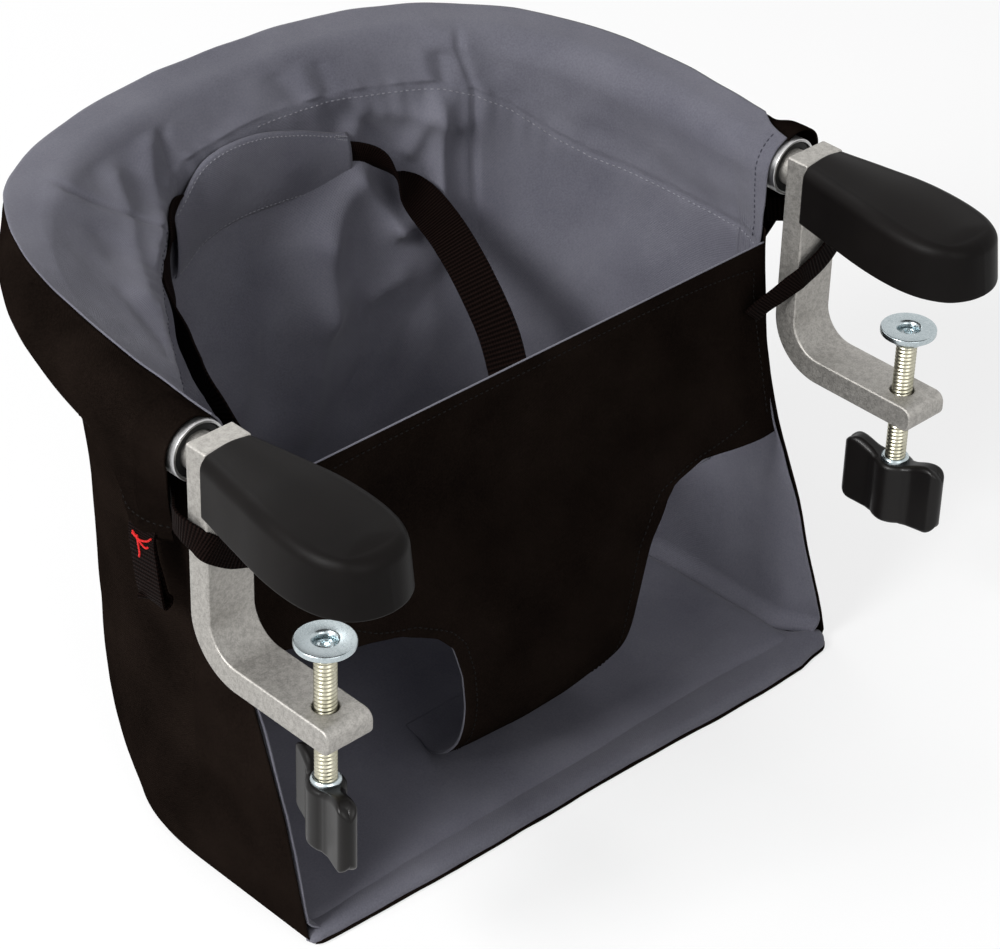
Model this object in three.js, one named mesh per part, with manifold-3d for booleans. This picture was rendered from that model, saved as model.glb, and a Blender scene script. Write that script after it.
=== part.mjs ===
// Hook-on table chair: a fabric baby seat that hangs from two screw clamps on the edge of a table.
//
// Millimetres. The clamps reach out to the front, which is -Y. Seen from the front, +X is to the right.
// +Z is up. The model is built round a datum in the middle plane, where the frame tube ends and on
// the height of its axis, and is then set down on the floor, centred.

import * as THREE from 'three';
import * as BufferGeometryUtils from 'three/addons/utils/BufferGeometryUtils.js';
import Module from 'manifold-3d';

const wasm = await Module();
wasm.setup();

// Driving dimensions of the frame tube
const clampSpacing = 361;        // between the axes of the two tube ends
const tubeRadius = 14;
const tubeWall = 1.5;
const tubeEndY = 3.5;            // the cut ends, behind the datum
const frameLeg = 26.4;           // straight run of each leg
const frameDepth = 206.5;        // datum to the axis of the back bend
const frameRise = 20;            // how far the back bend stands above the ends
const cornerPower = 2.67;        // squareness of the bend seen from above
const risePower = 1.3;

// Driving dimensions of the clamps
const barWidth = 25;
const barThickness = 12.5;
const barBackY = -2.5;
const clampTop = 12.5;           // top face above the tube axis
const jawOuterRadius = 28.5;
const lowerArmTop = -86.8;
const lowerArmEndY = -89.5;
const screwY = -73.7;
const coreTopStep = 6;           // the core of the upper arm lies this far under the rubber's top
const coreEndY = -100;
const barEdge = 1.2;             // softened edges of the casting
const spigotRadius = 9;
const spigotLength = 30;
const spigotChamfer = 1.5;

// Rubber arm cover
const coverHeight = 30;
const coverRootY = -15.1;
const coverTipY = -114.8;
const coverHalfWidth = 26.2;
const coverEdge = 5;             // rounding of the top edge
const coverSoleEdge = 2;
const coverDraft = 4;            // how much narrower the top is than the sole at the nose, each side
const coverNoseDrop = 4;         // how much lower the top is at the nose than at the bar

// Spindle, pad and knob
const screwRadius = 5;
const screwHoleClearance = 0.7;
const padRadius = 13.3;
const padTop = -52.5;
const padRim = 2.6;              // height of the cylindrical rim
const padHeight = 7.5;
const padNeckRadius = 7.2;
const padRecessRadius = 5;
const padRecessDepth = 4;
const padBoreRadius = 3;         // the spindle's turned tip runs in it
const retainerHeadRadius = 4.2;
const retainerHead = 1.6;
const retainerSocketRadius = 1.6;
const retainerSocketDepth = 1;
const flangeTop = -123.9;        // top of the metal insert in the knob
const flangeRadius = 6.6;
const flangeHeight = 2.4;
const insertRadius = 6;
const insertLength = 24;
const insertFloor = 2;
const knobWingTop = -119;
const knobHubTop = -126;
const knobBottom = -157.5;
const knobSpan = 55;
const knobThickness = 9;
const knobHubRadius = 8.8;
const knobDishRadius = 20;       // where the slope of the wings' tops begins
const knobEdge = 2.2;
const knobTurnRight = 6;         // degrees that each knob stands turned at rest
const knobTurnLeft = -20;        // degrees, the other way round

// Stop rivet under each tube end
const rivetY = 9.5;
const rivetRadius = 1.9;
const rivetHeadRadius = 3.2;
const rivetHead = 1.4;
const rivetDepth = 2.4;          // how deep it reaches into the spigot's groove
const swivelRange = 90;          // degrees that each clamp folds inward

// Plastic bush in each tube end
const bushLength = 18;
const bushInset = 1;             // behind the tube's end

// Fabric seat
const floorZ = -247.5;           // underside of the seat below the tube axis
const wallTop = -38;             // seam under the rim sleeve
const wallFrontTop = 5;          // front edge of the side panels at the seam
const baseReach = 44;            // how far the seat runs forward of the datum at its foot
const wallTuck = 6.5;            // how far the side panels turn in at their front edge
const cloth = 1.6;               // thickness of a lined panel
const baseThickness = 6.5;
const baseSkin = 1.6;
const boardInset = 12;
const bindingWidth = 2;
const seamFromMiddle = 119;      // side panels meet the back panel here
const foldDepth = 2.4;           // of the drawn-in folds in the back corners
const foldWidthShare = 0.02;
const sleeveCloth = 1.2;
const sleeveTopStart = 6;        // where the sleeve's hem begins on the crest of the tube
const sleeveInnerStart = 7;
const sleeveOuterStart = 7.5;
const flapStart = 23;            // the hem slants back to here at the foot of the outer flap
const hemLength = 60;            // over which the slant of the hem fades
const flapDrop = 56;             // hem of the outer flap at the front, below the tube axis
const flapFlare = 12;            // how far it stands off the wall
const flapLevelY = 44;           // the flap's hem is level up to here
const flapMergeY = 75;           // and has run into the seam here
const panelTop = -34;
const panelTopY = 3.1;
const panelWing = 166;           // half width of the front panel
const panelBulge = 28.5;         // how far forward the crotch piece stands
const panelTail = 36;            // where its end is sewn to the base
const waistWidth = 20;
const strapWidth = 12.5;           // the narrower webbing round the clamps
const webbingThickness = 1.4;
const strapEase = 1.7;           // from the clamp's bar to the middle of the webbing
const strapCross = -42.5;        // height at which the webbing crosses the bar
const pocketWidth = 109;
const pocketTop = -3;
const pocketBottom = -41;
const pocketCloth = 1.2;
const tabWidth = 22;
const tabLength = 32;
const tabThickness = 3.4;
const tabY = 34;

// Buckle on the waist strap
const buckleY = 46;
const buckleZ = -114;
const buckleHeight = 26;
const buckleThickness = 9;
const buckleLength = 30;
const buckleWall = 2.2;
const buckleEdge = 1;
const tongueLength = 20;
const tongueWidth = 6;
const prongWidth = 4;
const grabLength = 12;           // the part of the plug that stays outside

// Clearances and overruns
const gap = 0.3;                 // between pieces that touch
const runGap = 0.2;              // round shafts in holes
const overrun = 2;               // of cutting tools past a face

// Shares and counts
const roundSteps = 20;
const arcSteps = 5;
const frameSteps = 38;
const frameSides = 8;            // in each half turn of the tube's section

// Colours read from the photograph
function finish(color, roughness, metalness) {
  return new THREE.MeshStandardMaterial({ color, roughness, metalness });
}
const castMetal = finish(0xb9b5ac, 0.55, 0.8);
const rubber = finish(0x232222, 0.6, 0);
const blackPlastic = finish(0x141414, 0.35, 0);
const zinc = finish(0xc3c8c8, 0.3, 1);
const tubeMetal = finish(0xc9c9cb, 0.3, 1);
const lining = finish(0x5b5a68, 0.9, 0);
const outerCloth = finish(0x1b1714, 0.9, 0);
const webbing = finish(0x16120f, 0.85, 0);
const boardPlastic = finish(0x8a8a86, 0.7, 0);

const seat = new THREE.Group();
const half = clampSpacing / 2;
const v3 = (x, y, z) => new THREE.Vector3(x, y, z);

// Geometry helpers

// A geometry reduced to merged positions, so that its shared corners close the body
function closed(geometry) {
  const bare = geometry.index ? geometry.toNonIndexed() : geometry.clone();
  for (const key of Object.keys(bare.attributes)) if (key !== 'position') bare.deleteAttribute(key);
  return BufferGeometryUtils.mergeVertices(bare, gap / 1000);
}

function toSolid(geometry) {
  const g = closed(geometry);
  const mesh = new wasm.Mesh({
    numProp: 3,
    vertProperties: Float32Array.from(g.attributes.position.array),
    triVerts: Uint32Array.from(g.index.array),
  });
  return new wasm.Manifold(mesh);
}

function toGeometry(solid) {
  const mesh = solid.getMesh();
  const g = new THREE.BufferGeometry();
  const corners = Float32Array.from(mesh.vertProperties);
  g.setAttribute('position', new THREE.BufferAttribute(corners, mesh.numProp));
  g.setIndex(new THREE.BufferAttribute(Uint32Array.from(mesh.triVerts), 1));
  return g;
}

function cut(geometry, ...tools) {
  return toGeometry(tools.reduce((s, t) => s.subtract(toSolid(t)), toSolid(geometry)));
}
function join(geometry, ...more) {
  return toGeometry(more.reduce((s, t) => s.add(toSolid(t)), toSolid(geometry)));
}

// The mirror image in the middle plane, with its faces turned to point out again
function mirrored(geometry) {
  const g = closed(geometry).scale(-1, 1, 1);
  const index = g.index.array;
  for (let i = 0; i < index.length; i += 3) [index[i], index[i + 1]] = [index[i + 1], index[i]];
  return g;
}

function place(name, geometry, material, position = v3(0, 0, 0), rotation = [0, 0, 0]) {
  const g = closed(geometry);
  g.computeVertexNormals();
  const mesh = new THREE.Mesh(g, material);
  mesh.name = name;
  mesh.position.copy(position);
  mesh.rotation.set(...rotation);
  seat.add(mesh);
  return mesh;
}

// A turned body about the Z axis from [radius, z] points that run up its outside
function turned(points, steps = roundSteps) {
  const g = new THREE.LatheGeometry(points.map(([r, z]) => new THREE.Vector2(r, z)), steps);
  return g.rotateX(Math.PI / 2);
}

function rod(radius, z0, z1, steps = roundSteps) {
  return turned([[0, z0], [radius, z0], [radius, z1], [0, z1]], steps);
}

// The same body laid along +Y
const alongY = (geometry) => geometry.rotateX(-Math.PI / 2);

// A closed skin between two equal grids of points, front[i][j] facing the way that rows cross columns
function slab(front, back) {
  const rows = front.length;
  const cols = front[0].length;
  const points = [...front.flat(), ...back.flat()];
  const at = (side, i, j) => side * rows * cols + i * cols + j;
  const index = [];
  const quad = (a, b, c, d) => index.push(a, b, c, a, c, d);
  for (let i = 0; i + 1 < rows; i++) {
    for (let j = 0; j + 1 < cols; j++) {
      quad(at(0, i, j), at(0, i, j + 1), at(0, i + 1, j + 1), at(0, i + 1, j));
      quad(at(1, i, j), at(1, i + 1, j), at(1, i + 1, j + 1), at(1, i, j + 1));
    }
  }
  for (let j = 0; j + 1 < cols; j++) {
    quad(at(0, 0, j + 1), at(0, 0, j), at(1, 0, j), at(1, 0, j + 1));
    quad(at(0, rows - 1, j), at(0, rows - 1, j + 1), at(1, rows - 1, j + 1), at(1, rows - 1, j));
  }
  for (let i = 0; i + 1 < rows; i++) {
    quad(at(0, i, 0), at(0, i + 1, 0), at(1, i + 1, 0), at(1, i, 0));
    quad(at(0, i + 1, cols - 1), at(0, i, cols - 1), at(1, i, cols - 1), at(1, i + 1, cols - 1));
  }
  return bodyOf(points, index);
}

function bodyOf(points, index) {
  const g = new THREE.BufferGeometry();
  g.setAttribute('position', new THREE.Float32BufferAttribute(points.flatMap((p) => [p.x, p.y, p.z]), 3));
  g.setIndex(index);
  return volumeOf(g) < 0 ? flipped(g) : g;
}

function volumeOf(g) {
  const p = g.attributes.position;
  const corner = (i) => new THREE.Vector3().fromBufferAttribute(p, g.index.array[i]);
  let sum = 0;
  for (let i = 0; i < g.index.count; i += 3) sum += corner(i).dot(corner(i + 1).cross(corner(i + 2)));
  return sum;
}

function flipped(g) {
  const index = g.index.array;
  for (let i = 0; i < index.length; i += 3) [index[i], index[i + 1]] = [index[i + 1], index[i]];
  return g;
}

// A closed loft through rings of points; ends are fanned from their middles
function loft(rings) {
  const count = rings[0].length;
  const points = rings.flat();
  const index = [];
  for (let i = 0; i + 1 < rings.length; i++) {
    for (let j = 0; j < count; j++) {
      const k = (j + 1) % count;
      const [a, b] = [i * count, (i + 1) * count];
      index.push(a + j, a + k, b + k, a + j, b + k, b + j);
    }
  }
  const middle = (ring) => ring.reduce((s, p) => s.add(p), v3(0, 0, 0)).multiplyScalar(1 / count);
  points.push(middle(rings[0]), middle(rings.at(-1)));
  const last = (rings.length - 1) * count;
  for (let j = 0; j < count; j++) {
    const k = (j + 1) % count;
    index.push(points.length - 2, k, j, points.length - 1, last + j, last + k);
  }
  return bodyOf(points, index);
}

// A flat strap of given width along a smooth path; wide says which way its width lies at each point
function strapAlong(path, width, thickness, steps, wide) {
  const curve = new THREE.CatmullRomCurve3(path, false, 'centripetal');
  const front = [];
  const back = [];
  for (let i = 0; i <= steps; i++) {
    const t = i / steps;
    const p = curve.getPointAt(t);
    const along = curve.getTangentAt(t);
    const across = wide(t).clone();
    across.addScaledVector(along, -across.dot(along)).normalize();
    const out = new THREE.Vector3().crossVectors(along, across).normalize();
    const row = (side) => [-1, 1].map((s) => p.clone()
      .addScaledVector(across, s * width / 2)
      .addScaledVector(out, side * thickness / 2));
    front.push(row(1));
    back.push(row(-1));
  }
  return slab(front, back);
}

const mix = (a, b, share) => a + (b - a) * share;

// Straight-line reading of a table of [place, value...] rows
function read(table, where) {
  const rising = table[0][0] < table.at(-1)[0];
  let i = 0;
  while (i < table.length - 2 && (rising ? where > table[i + 1][0] : where < table[i + 1][0])) i++;
  const share = THREE.MathUtils.clamp((where - table[i][0]) / (table[i + 1][0] - table[i][0]), 0, 1);
  return table[i].slice(1).map((value, k) => mix(value, table[i + 1][k + 1], share));
}

// A U seen from above, from the left front end round the back to the right front end
const legShare = 0.16;
const bendShare = 1 - 2 * legShare;
function uPlan(t, halfWidth, frontY, bendY, backY, tuck = 0) {
  const legX = (along) => halfWidth - tuck * (1 - along) ** 2;
  if (t < legShare) return [-legX(t / legShare), mix(frontY, bendY, t / legShare)];
  if (t > 1 - legShare) return [legX((1 - t) / legShare), mix(frontY, bendY, (1 - t) / legShare)];
  const angle = Math.PI * (1 - (t - legShare) / bendShare);
  const round = (value) => Math.sign(value) * Math.abs(value) ** (2 / cornerPower);
  return [halfWidth * round(Math.cos(angle)), bendY + (backY - bendY) * Math.abs(round(Math.sin(angle)))];
}
// The share of the way round at which a U of the given half width lies at x
function shareAt(x, halfWidth) {
  const cosine = Math.sign(x) * Math.abs(x / halfWidth) ** (cornerPower / 2);
  return legShare + bendShare * (1 - Math.acos(cosine) / Math.PI);
}

const riseAt = (y) => frameRise * Math.max(0, (y - frameLeg) / (frameDepth - frameLeg)) ** risePower;

class FramePath extends THREE.Curve {
  getPoint(t, target = new THREE.Vector3()) {
    const [x, y] = uPlan(t, half, tubeEndY, frameLeg, frameDepth);
    return target.set(x, y, riseAt(y));
  }
}
const framePath = new FramePath();

// Frame tube, bent in one piece, with a rivet hole under each end
function ringShape(outer, inner) {
  const shape = new THREE.Shape();
  shape.absarc(0, 0, outer, 0, 2 * Math.PI, false);
  const hole = new THREE.Path();
  hole.absarc(0, 0, inner, 0, 2 * Math.PI, true);
  shape.holes.push(hole);
  return shape;
}
const tubeBore = tubeRadius - tubeWall;
const rivetHole = (side) => rod(rivetRadius + runGap, -tubeRadius - overrun, 0, roundSteps / 2)
  .translate(side * half, rivetY, 0);
const bentTube = new THREE.ExtrudeGeometry(ringShape(tubeRadius, tubeBore), {
  steps: frameSteps, extrudePath: framePath, curveSegments: frameSides, bevelEnabled: false,
});
place('frame_tube', cut(bentTube, rivetHole(-1), rivetHole(1)), tubeMetal);

// Clamp arm: one casting with the core of the upper arm, the bar, the lower arm and the spigot
const barFrontY = barBackY - barThickness;
const lowerArmBottom = lowerArmTop - barThickness;
const jawInnerRadius = jawOuterRadius - barThickness;
const coreTop = clampTop - coreTopStep;
function clampProfile() {
  const e = barEdge;
  const s = new THREE.Shape();
  s.moveTo(barBackY - e, clampTop - e);
  s.lineTo(barFrontY + e, clampTop - e);
  s.lineTo(barFrontY + e, coreTop - e);
  s.lineTo(coreEndY + e, coreTop - e);
  s.lineTo(coreEndY + e, coreTop - barThickness + e);
  s.lineTo(barFrontY + e, coreTop - barThickness + e);
  s.lineTo(barFrontY + e, lowerArmTop + jawInnerRadius);
  const innerBend = [barFrontY - jawInnerRadius, lowerArmTop + jawInnerRadius];
  s.absarc(...innerBend, jawInnerRadius + e, 0, -Math.PI / 2, true);
  s.lineTo(lowerArmEndY + barThickness / 2, lowerArmTop - e);
  s.absarc(lowerArmEndY + barThickness / 2, lowerArmTop - barThickness / 2, barThickness / 2 - e,
    Math.PI / 2, Math.PI * 3 / 2, false);
  s.lineTo(barBackY - jawOuterRadius, lowerArmBottom + e);
  s.absarc(barBackY - jawOuterRadius, lowerArmBottom + jawOuterRadius, jawOuterRadius - e,
    -Math.PI / 2, 0, false);
  return s;
}
function clampArm() {
  const bar = new THREE.ExtrudeGeometry(clampProfile(), {
    depth: barWidth - 2 * barEdge, bevelEnabled: true, bevelThickness: barEdge, bevelSize: barEdge,
    bevelSegments: 2, curveSegments: arcSteps,
  });
  // The profile is drawn in Y and Z and pushed along X
  bar.rotateY(Math.PI / 2).rotateX(Math.PI / 2).translate(-barWidth / 2 + barEdge, 0, 0);
  const spigot = alongY(turned([
    [0, -overrun], [spigotRadius, -overrun], [spigotRadius, spigotLength - spigotChamfer],
    [spigotRadius - spigotChamfer, spigotLength], [0, spigotLength],
  ])).translate(0, barBackY, 0);
  const screwHole = rod(screwRadius + screwHoleClearance, lowerArmBottom - overrun, lowerArmTop + overrun)
    .translate(0, screwY, 0);
  return cut(join(bar, spigot), screwHole, grooveTool());
}
// The quarter-turn groove in the spigot in which the stop rivet runs
function grooveTool() {
  const width = rivetRadius + runGap * 2;
  const inner = spigotRadius - rivetDepth - runGap * 2;
  const outer = spigotRadius + overrun;
  const slack = width / inner;
  // From straight down at rest round to the outer side, measured about the tube axis
  const from = -Math.PI / 2 - slack;
  const to = -Math.PI / 2 + THREE.MathUtils.degToRad(swivelRange) + slack;
  const sector = new THREE.Shape();
  sector.absarc(0, 0, outer, from, to, false);
  sector.absarc(0, 0, inner, to, from, true);
  sector.closePath();
  const push = { depth: 2 * width, bevelEnabled: false, curveSegments: roundSteps / 2 };
  const tool = new THREE.ExtrudeGeometry(sector, push);
  return tool.rotateX(Math.PI / 2).translate(0, rivetY + width, 0);
}

// Rubber cover: a rounded shoe with a pocket for the core, open at the bar
const coverPlanShares = [
  [0, 0.58], [0.07, 0.635], [0.17, 0.72], [0.29, 0.813], [0.4, 0.9], [0.5, 0.962], [0.61, 1], [0.71, 0.995],
  [0.8, 0.935], [0.87, 0.825], [0.932, 0.66], [0.972, 0.44], [1, 0],
];
function coverRing(rise, edge) {
  const length = coverRootY - coverTipY;
  const riseShare = rise / coverHeight;
  const sidePoints = coverPlanShares.map(([alongShare, wideShare]) => {
    const nose = alongShare ** 6;
    const inset = edge + coverDraft * riseShare * alongShare;
    const drop = coverNoseDrop * riseShare * THREE.MathUtils.smoothstep(alongShare, 0.35, 1);
    return v3(Math.max(0, coverHalfWidth * wideShare - inset * (1 - nose)),
      coverRootY - alongShare * length + inset * nose, clampTop - coverHeight + rise - drop);
  });
  const mirrorPoints = sidePoints.slice(0, -1).reverse().map((p) => v3(-p.x, p.y, p.z));
  return [...sidePoints, ...mirrorPoints];
}
function armCover() {
  const roundRings = [0, 0.25, 0.5, 0.75, 1].map((share) => {
    const angle = share * Math.PI / 2;
    return coverRing(coverHeight - coverEdge * (1 - Math.sin(angle)), coverEdge * (1 - Math.cos(angle)));
  });
  const shoe = loft([coverRing(0, coverSoleEdge), coverRing(coverSoleEdge, 0), ...roundRings]);
  const pocketLength = coverRootY - coreEndY + gap + overrun;
  const pocket = new THREE.BoxGeometry(barWidth + 2 * gap, pocketLength, barThickness + 2 * gap)
    .translate(0, (coverRootY + overrun + coreEndY - gap) / 2, coreTop - barThickness / 2);
  return cut(shoe, pocket);
}

// Spindle: threaded rod with a turned tip that carries the pad
const padBottom = padTop - padHeight;
const tipTop = padTop - padRecessDepth - gap;
const insertBottom = flangeTop - insertLength;
function clampScrew() {
  const root = screwRadius;
  const tipRadius = padBoreRadius - runGap;
  return turned([
    [0, insertBottom + insertFloor], [root, insertBottom + insertFloor], [root, padBottom - gap],
    [tipRadius, padBottom - gap],
    [tipRadius, tipTop], [0, tipTop],
  ]);
}
function pressurePad() {
  return turned([
    [padBoreRadius, padBottom], [padNeckRadius, padBottom], [padRadius, padTop - padRim],
    [padRadius, padTop - padRim / 4], [padRadius - padRim / 4, padTop], [padRecessRadius, padTop],
    [padRecessRadius, padTop - padRecessDepth], [padBoreRadius, padTop - padRecessDepth],
    [padBoreRadius, padBottom],
  ]);
}
function padRetainer() {
  const base = padTop - padRecessDepth + gap;
  return turned([
    [0, base], [retainerHeadRadius, base], [retainerHeadRadius, base + retainerHead / 2],
    [retainerHeadRadius * 3 / 4, base + retainerHead], [retainerSocketRadius, base + retainerHead],
    [retainerSocketRadius, base + retainerHead - retainerSocketDepth],
    [0, base + retainerHead - retainerSocketDepth],
  ]);
}

// Metal insert that joins the spindle to the knob, closed below
function knobInsert() {
  const bore = screwRadius + gap;
  return turned([
    [0, insertBottom], [insertRadius, insertBottom], [insertRadius, flangeTop - flangeHeight],
    [flangeRadius, flangeTop - flangeHeight], [flangeRadius, flangeTop], [bore, flangeTop],
    [bore, insertBottom + insertFloor - gap], [0, insertBottom + insertFloor - gap],
  ]);
}

// Wing knob: a waisted hub with a flat wing each side
function wingKnob() {
  const t = knobThickness / 2 - knobEdge;
  const reach = knobSpan / 2 - knobEdge;
  const r = knobHubRadius - knobEdge;
  const meet = Math.asin(t / r);
  const s = new THREE.Shape();
  s.absarc(0, 0, r, meet, Math.PI - meet, false);
  s.lineTo(-reach, t);
  s.lineTo(-reach, -t);
  s.absarc(0, 0, r, Math.PI + meet, 2 * Math.PI - meet, false);
  s.lineTo(reach, -t);
  s.lineTo(reach, t);
  const height = knobWingTop - knobBottom;
  const body = new THREE.ExtrudeGeometry(s, {
    depth: height - 2 * knobEdge, bevelEnabled: true, bevelThickness: knobEdge, bevelSize: knobEdge,
    bevelSegments: 2, curveSegments: arcSteps,
  }).translate(0, 0, knobBottom + knobEdge);
  const clear = flangeRadius + gap;
  const dish = turned([
    [0, knobHubTop], [knobHubRadius, knobHubTop], [knobDishRadius, knobWingTop], [knobSpan, knobWingTop],
    [knobSpan, knobWingTop + overrun], [0, knobWingTop + overrun],
  ]);
  const seatHole = rod(clear, flangeTop - flangeHeight - gap, knobWingTop + overrun);
  const bore = rod(insertRadius + gap, insertBottom - gap, knobWingTop + overrun);
  return cut(body, dish, seatHole, bore).rotateZ(Math.PI / 2);
}

// Bush: a sleeve in the tube end with a hole for the rivet
function tubeBush() {
  // Clear of the flats of the tube's bore
  const outer = tubeBore * Math.cos(Math.PI / (2 * frameSides)) - gap / 2;
  const inner = spigotRadius + runGap;
  const start = tubeEndY + bushInset;
  const section = [[inner, 0], [outer, 0], [outer, bushLength], [inner, bushLength], [inner, 0]];
  const ring = alongY(turned(section)).translate(0, start, 0);
  const hole = rod(rivetRadius + runGap, -tubeRadius, 0, roundSteps / 2).translate(0, rivetY, 0);
  return cut(ring, hole);
}

function stopRivet() {
  const under = -tubeRadius - gap;
  return turned([
    [0, under - rivetHead], [rivetHeadRadius * 3 / 4, under - rivetHead],
    [rivetHeadRadius, under - rivetHead / 2], [rivetHeadRadius, under], [rivetRadius, under],
    [rivetRadius, -spigotRadius + rivetDepth], [0, -spigotRadius + rivetDepth],
  ], roundSteps / 2).translate(0, rivetY, 0);
}

const rightArm = clampArm();
const leftArm = mirrored(clampArm());
for (const [sideName, side, armGeometry, knobTurn] of [
  ['left', -1, leftArm, knobTurnLeft], ['right', 1, rightArm, knobTurnRight],
]) {
  const at = v3(side * half, 0, 0);
  const onScrew = v3(side * half, screwY, 0);
  place(`${sideName}_clamp_arm`, armGeometry, castMetal, at);
  place(`${sideName}_arm_cover`, armCover(), rubber, at);
  place(`${sideName}_tube_bush`, tubeBush(), blackPlastic, at);
  place(`${sideName}_stop_rivet`, stopRivet(), zinc, at);
  place(`${sideName}_clamp_screw`, clampScrew(), zinc, onScrew);
  place(`${sideName}_pressure_pad`, pressurePad(), zinc, onScrew);
  place(`${sideName}_pad_retainer`, padRetainer(), zinc, onScrew);
  place(`${sideName}_knob_insert`, knobInsert(), zinc, onScrew);
  const knobAngles = [0, 0, THREE.MathUtils.degToRad(knobTurn)];
  place(`${sideName}_wing_knob`, wingKnob(), blackPlastic, onScrew, knobAngles);
}

// Fabric walls. Each row of shares gives the height, the half width, the back, the front and the tuck.
const tubHeight = wallTop - floorZ - baseThickness;
const wallShares = [
  [0, 0.955, 0.886, 0, 1],
  [0.24, 0.944, 0.843, 0.10, 0.6],
  [0.445, 0.942, 0.836, 0.33, 0.45],
  [0.64, 0.942, 0.834, 0.67, 0.25],
  [0.84, 0.936, 0.804, 0.90, 0.1],
  [0.95, 0.928, 0.736, 0.98, 0],
  [1, 0.917, 0.678, 1, 0],
];
const wallTable = wallShares.map(([downShare, wideShare, backShare, frontShare, tuckShare]) => [
  wallTop - tubHeight * downShare, half * wideShare, frameDepth * backShare,
  mix(wallFrontTop, -baseReach, frontShare), wallTuck * tuckShare,
]);
// Folds that the cloth draws into: where round the U, how deep, and how steeply each leans
const foldShares = [
  [0.345, 1, 0.03], [0.39, 0.6, -0.02], [0.455, 0.8, 0.05], [0.6, 0.7, -0.04], [0.66, 0.5, 0.02],
];
function foldAt(t, z) {
  const downShare = THREE.MathUtils.clamp((wallTop - z) / tubHeight, 0, 1);
  const fade = Math.sin(Math.PI * downShare) ** 2;
  return fade * foldDepth * foldShares.reduce((sum, [atShare, deepShare, leanShare]) => sum
    + deepShare * Math.exp(-(((t - atShare - leanShare * downShare) / foldWidthShare) ** 2)), 0);
}
// Outer face of the walls at share t of the way round, at height z, set in by a distance
function wallPoint(t, z, inset = 0) {
  const [wide, back, front, tuck] = read(wallTable, z);
  const inward = inset + foldAt(t, z);
  const [x, y] = uPlan(t, wide - inward, front, frameLeg, back - inward, tuck);
  return v3(x, y, z);
}
const topHalfWidth = wallTable[0][1];
const seamShare = shareAt(-seamFromMiddle, topHalfWidth);
const seamGapShare = gap / (clampSpacing + 2 * frameDepth);
const wallRows = wallTable.flatMap(([z], i) => (i ? [(z + wallTable[i - 1][0]) / 2, z] : [z]));
wallRows[0] -= gap;
wallRows[wallRows.length - 1] += gap;
function wallPanel(from, to, columns) {
  const grid = (inset) => wallRows.map((z) => Array.from({ length: columns + 1 },
    (_, j) => wallPoint(mix(from, to, j / columns), z, inset)));
  return slab(grid(0), grid(cloth));
}
place('left_side_panel', wallPanel(0, seamShare - seamGapShare, 14), outerCloth);
place('back_panel', wallPanel(seamShare + seamGapShare, 1 - seamShare - seamGapShare, 22), outerCloth);
place('right_side_panel', wallPanel(1 - seamShare + seamGapShare, 1, 14), outerCloth);

// Seat base: a flat padded panel with a stiffening board slid in from the front
const [, toeHalf, toeBack] = wallTable.at(-1);
const baseTop = floorZ + baseThickness;
const baseFrontY = -baseReach;
function baseOutline(inset, frontY) {
  const steps = 28;
  const ring = Array.from({ length: steps + 1 },
    (_, i) => uPlan(i / steps, toeHalf - inset, frontY, frameLeg, toeBack - inset));
  return new THREE.Shape(ring.map(([x, y]) => new THREE.Vector2(x, y)));
}
const flat = (shape, z0, z1) => new THREE.ExtrudeGeometry(shape, { depth: z1 - z0, bevelEnabled: false })
  .translate(0, 0, z0);
const boardZ0 = floorZ + baseSkin;
const boardZ1 = baseTop - baseSkin;
const basePad = cut(
  flat(baseOutline(0, baseFrontY), floorZ, baseTop),
  flat(baseOutline(boardInset, baseFrontY - overrun), boardZ0, boardZ1),
);
place('seat_base', basePad, lining);
place('seat_board', flat(baseOutline(boardInset + gap, baseFrontY + overrun), boardZ0 + gap, boardZ1 - gap),
  boardPlastic);

// Binding that closes the front edge of the base over the board's slot
function frontBinding() {
  const section = new THREE.Shape();
  const r = bindingWidth / 2;
  section.moveTo(0, 0);
  section.lineTo(r, 0);
  section.absarc(r, r, r, -Math.PI / 2, 0, false);
  section.absarc(r, baseThickness - r, r, 0, Math.PI / 2, false);
  section.lineTo(0, baseThickness);
  const push = { depth: 2 * toeHalf, bevelEnabled: false, curveSegments: 3 };
  const strip = new THREE.ExtrudeGeometry(section, push);
  // The section is drawn forward and up, and pushed along X
  return strip.rotateX(Math.PI / 2).rotateZ(-Math.PI / 2).translate(toeHalf, baseFrontY - gap, floorZ);
}
place('front_binding', frontBinding(), outerCloth);

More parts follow.
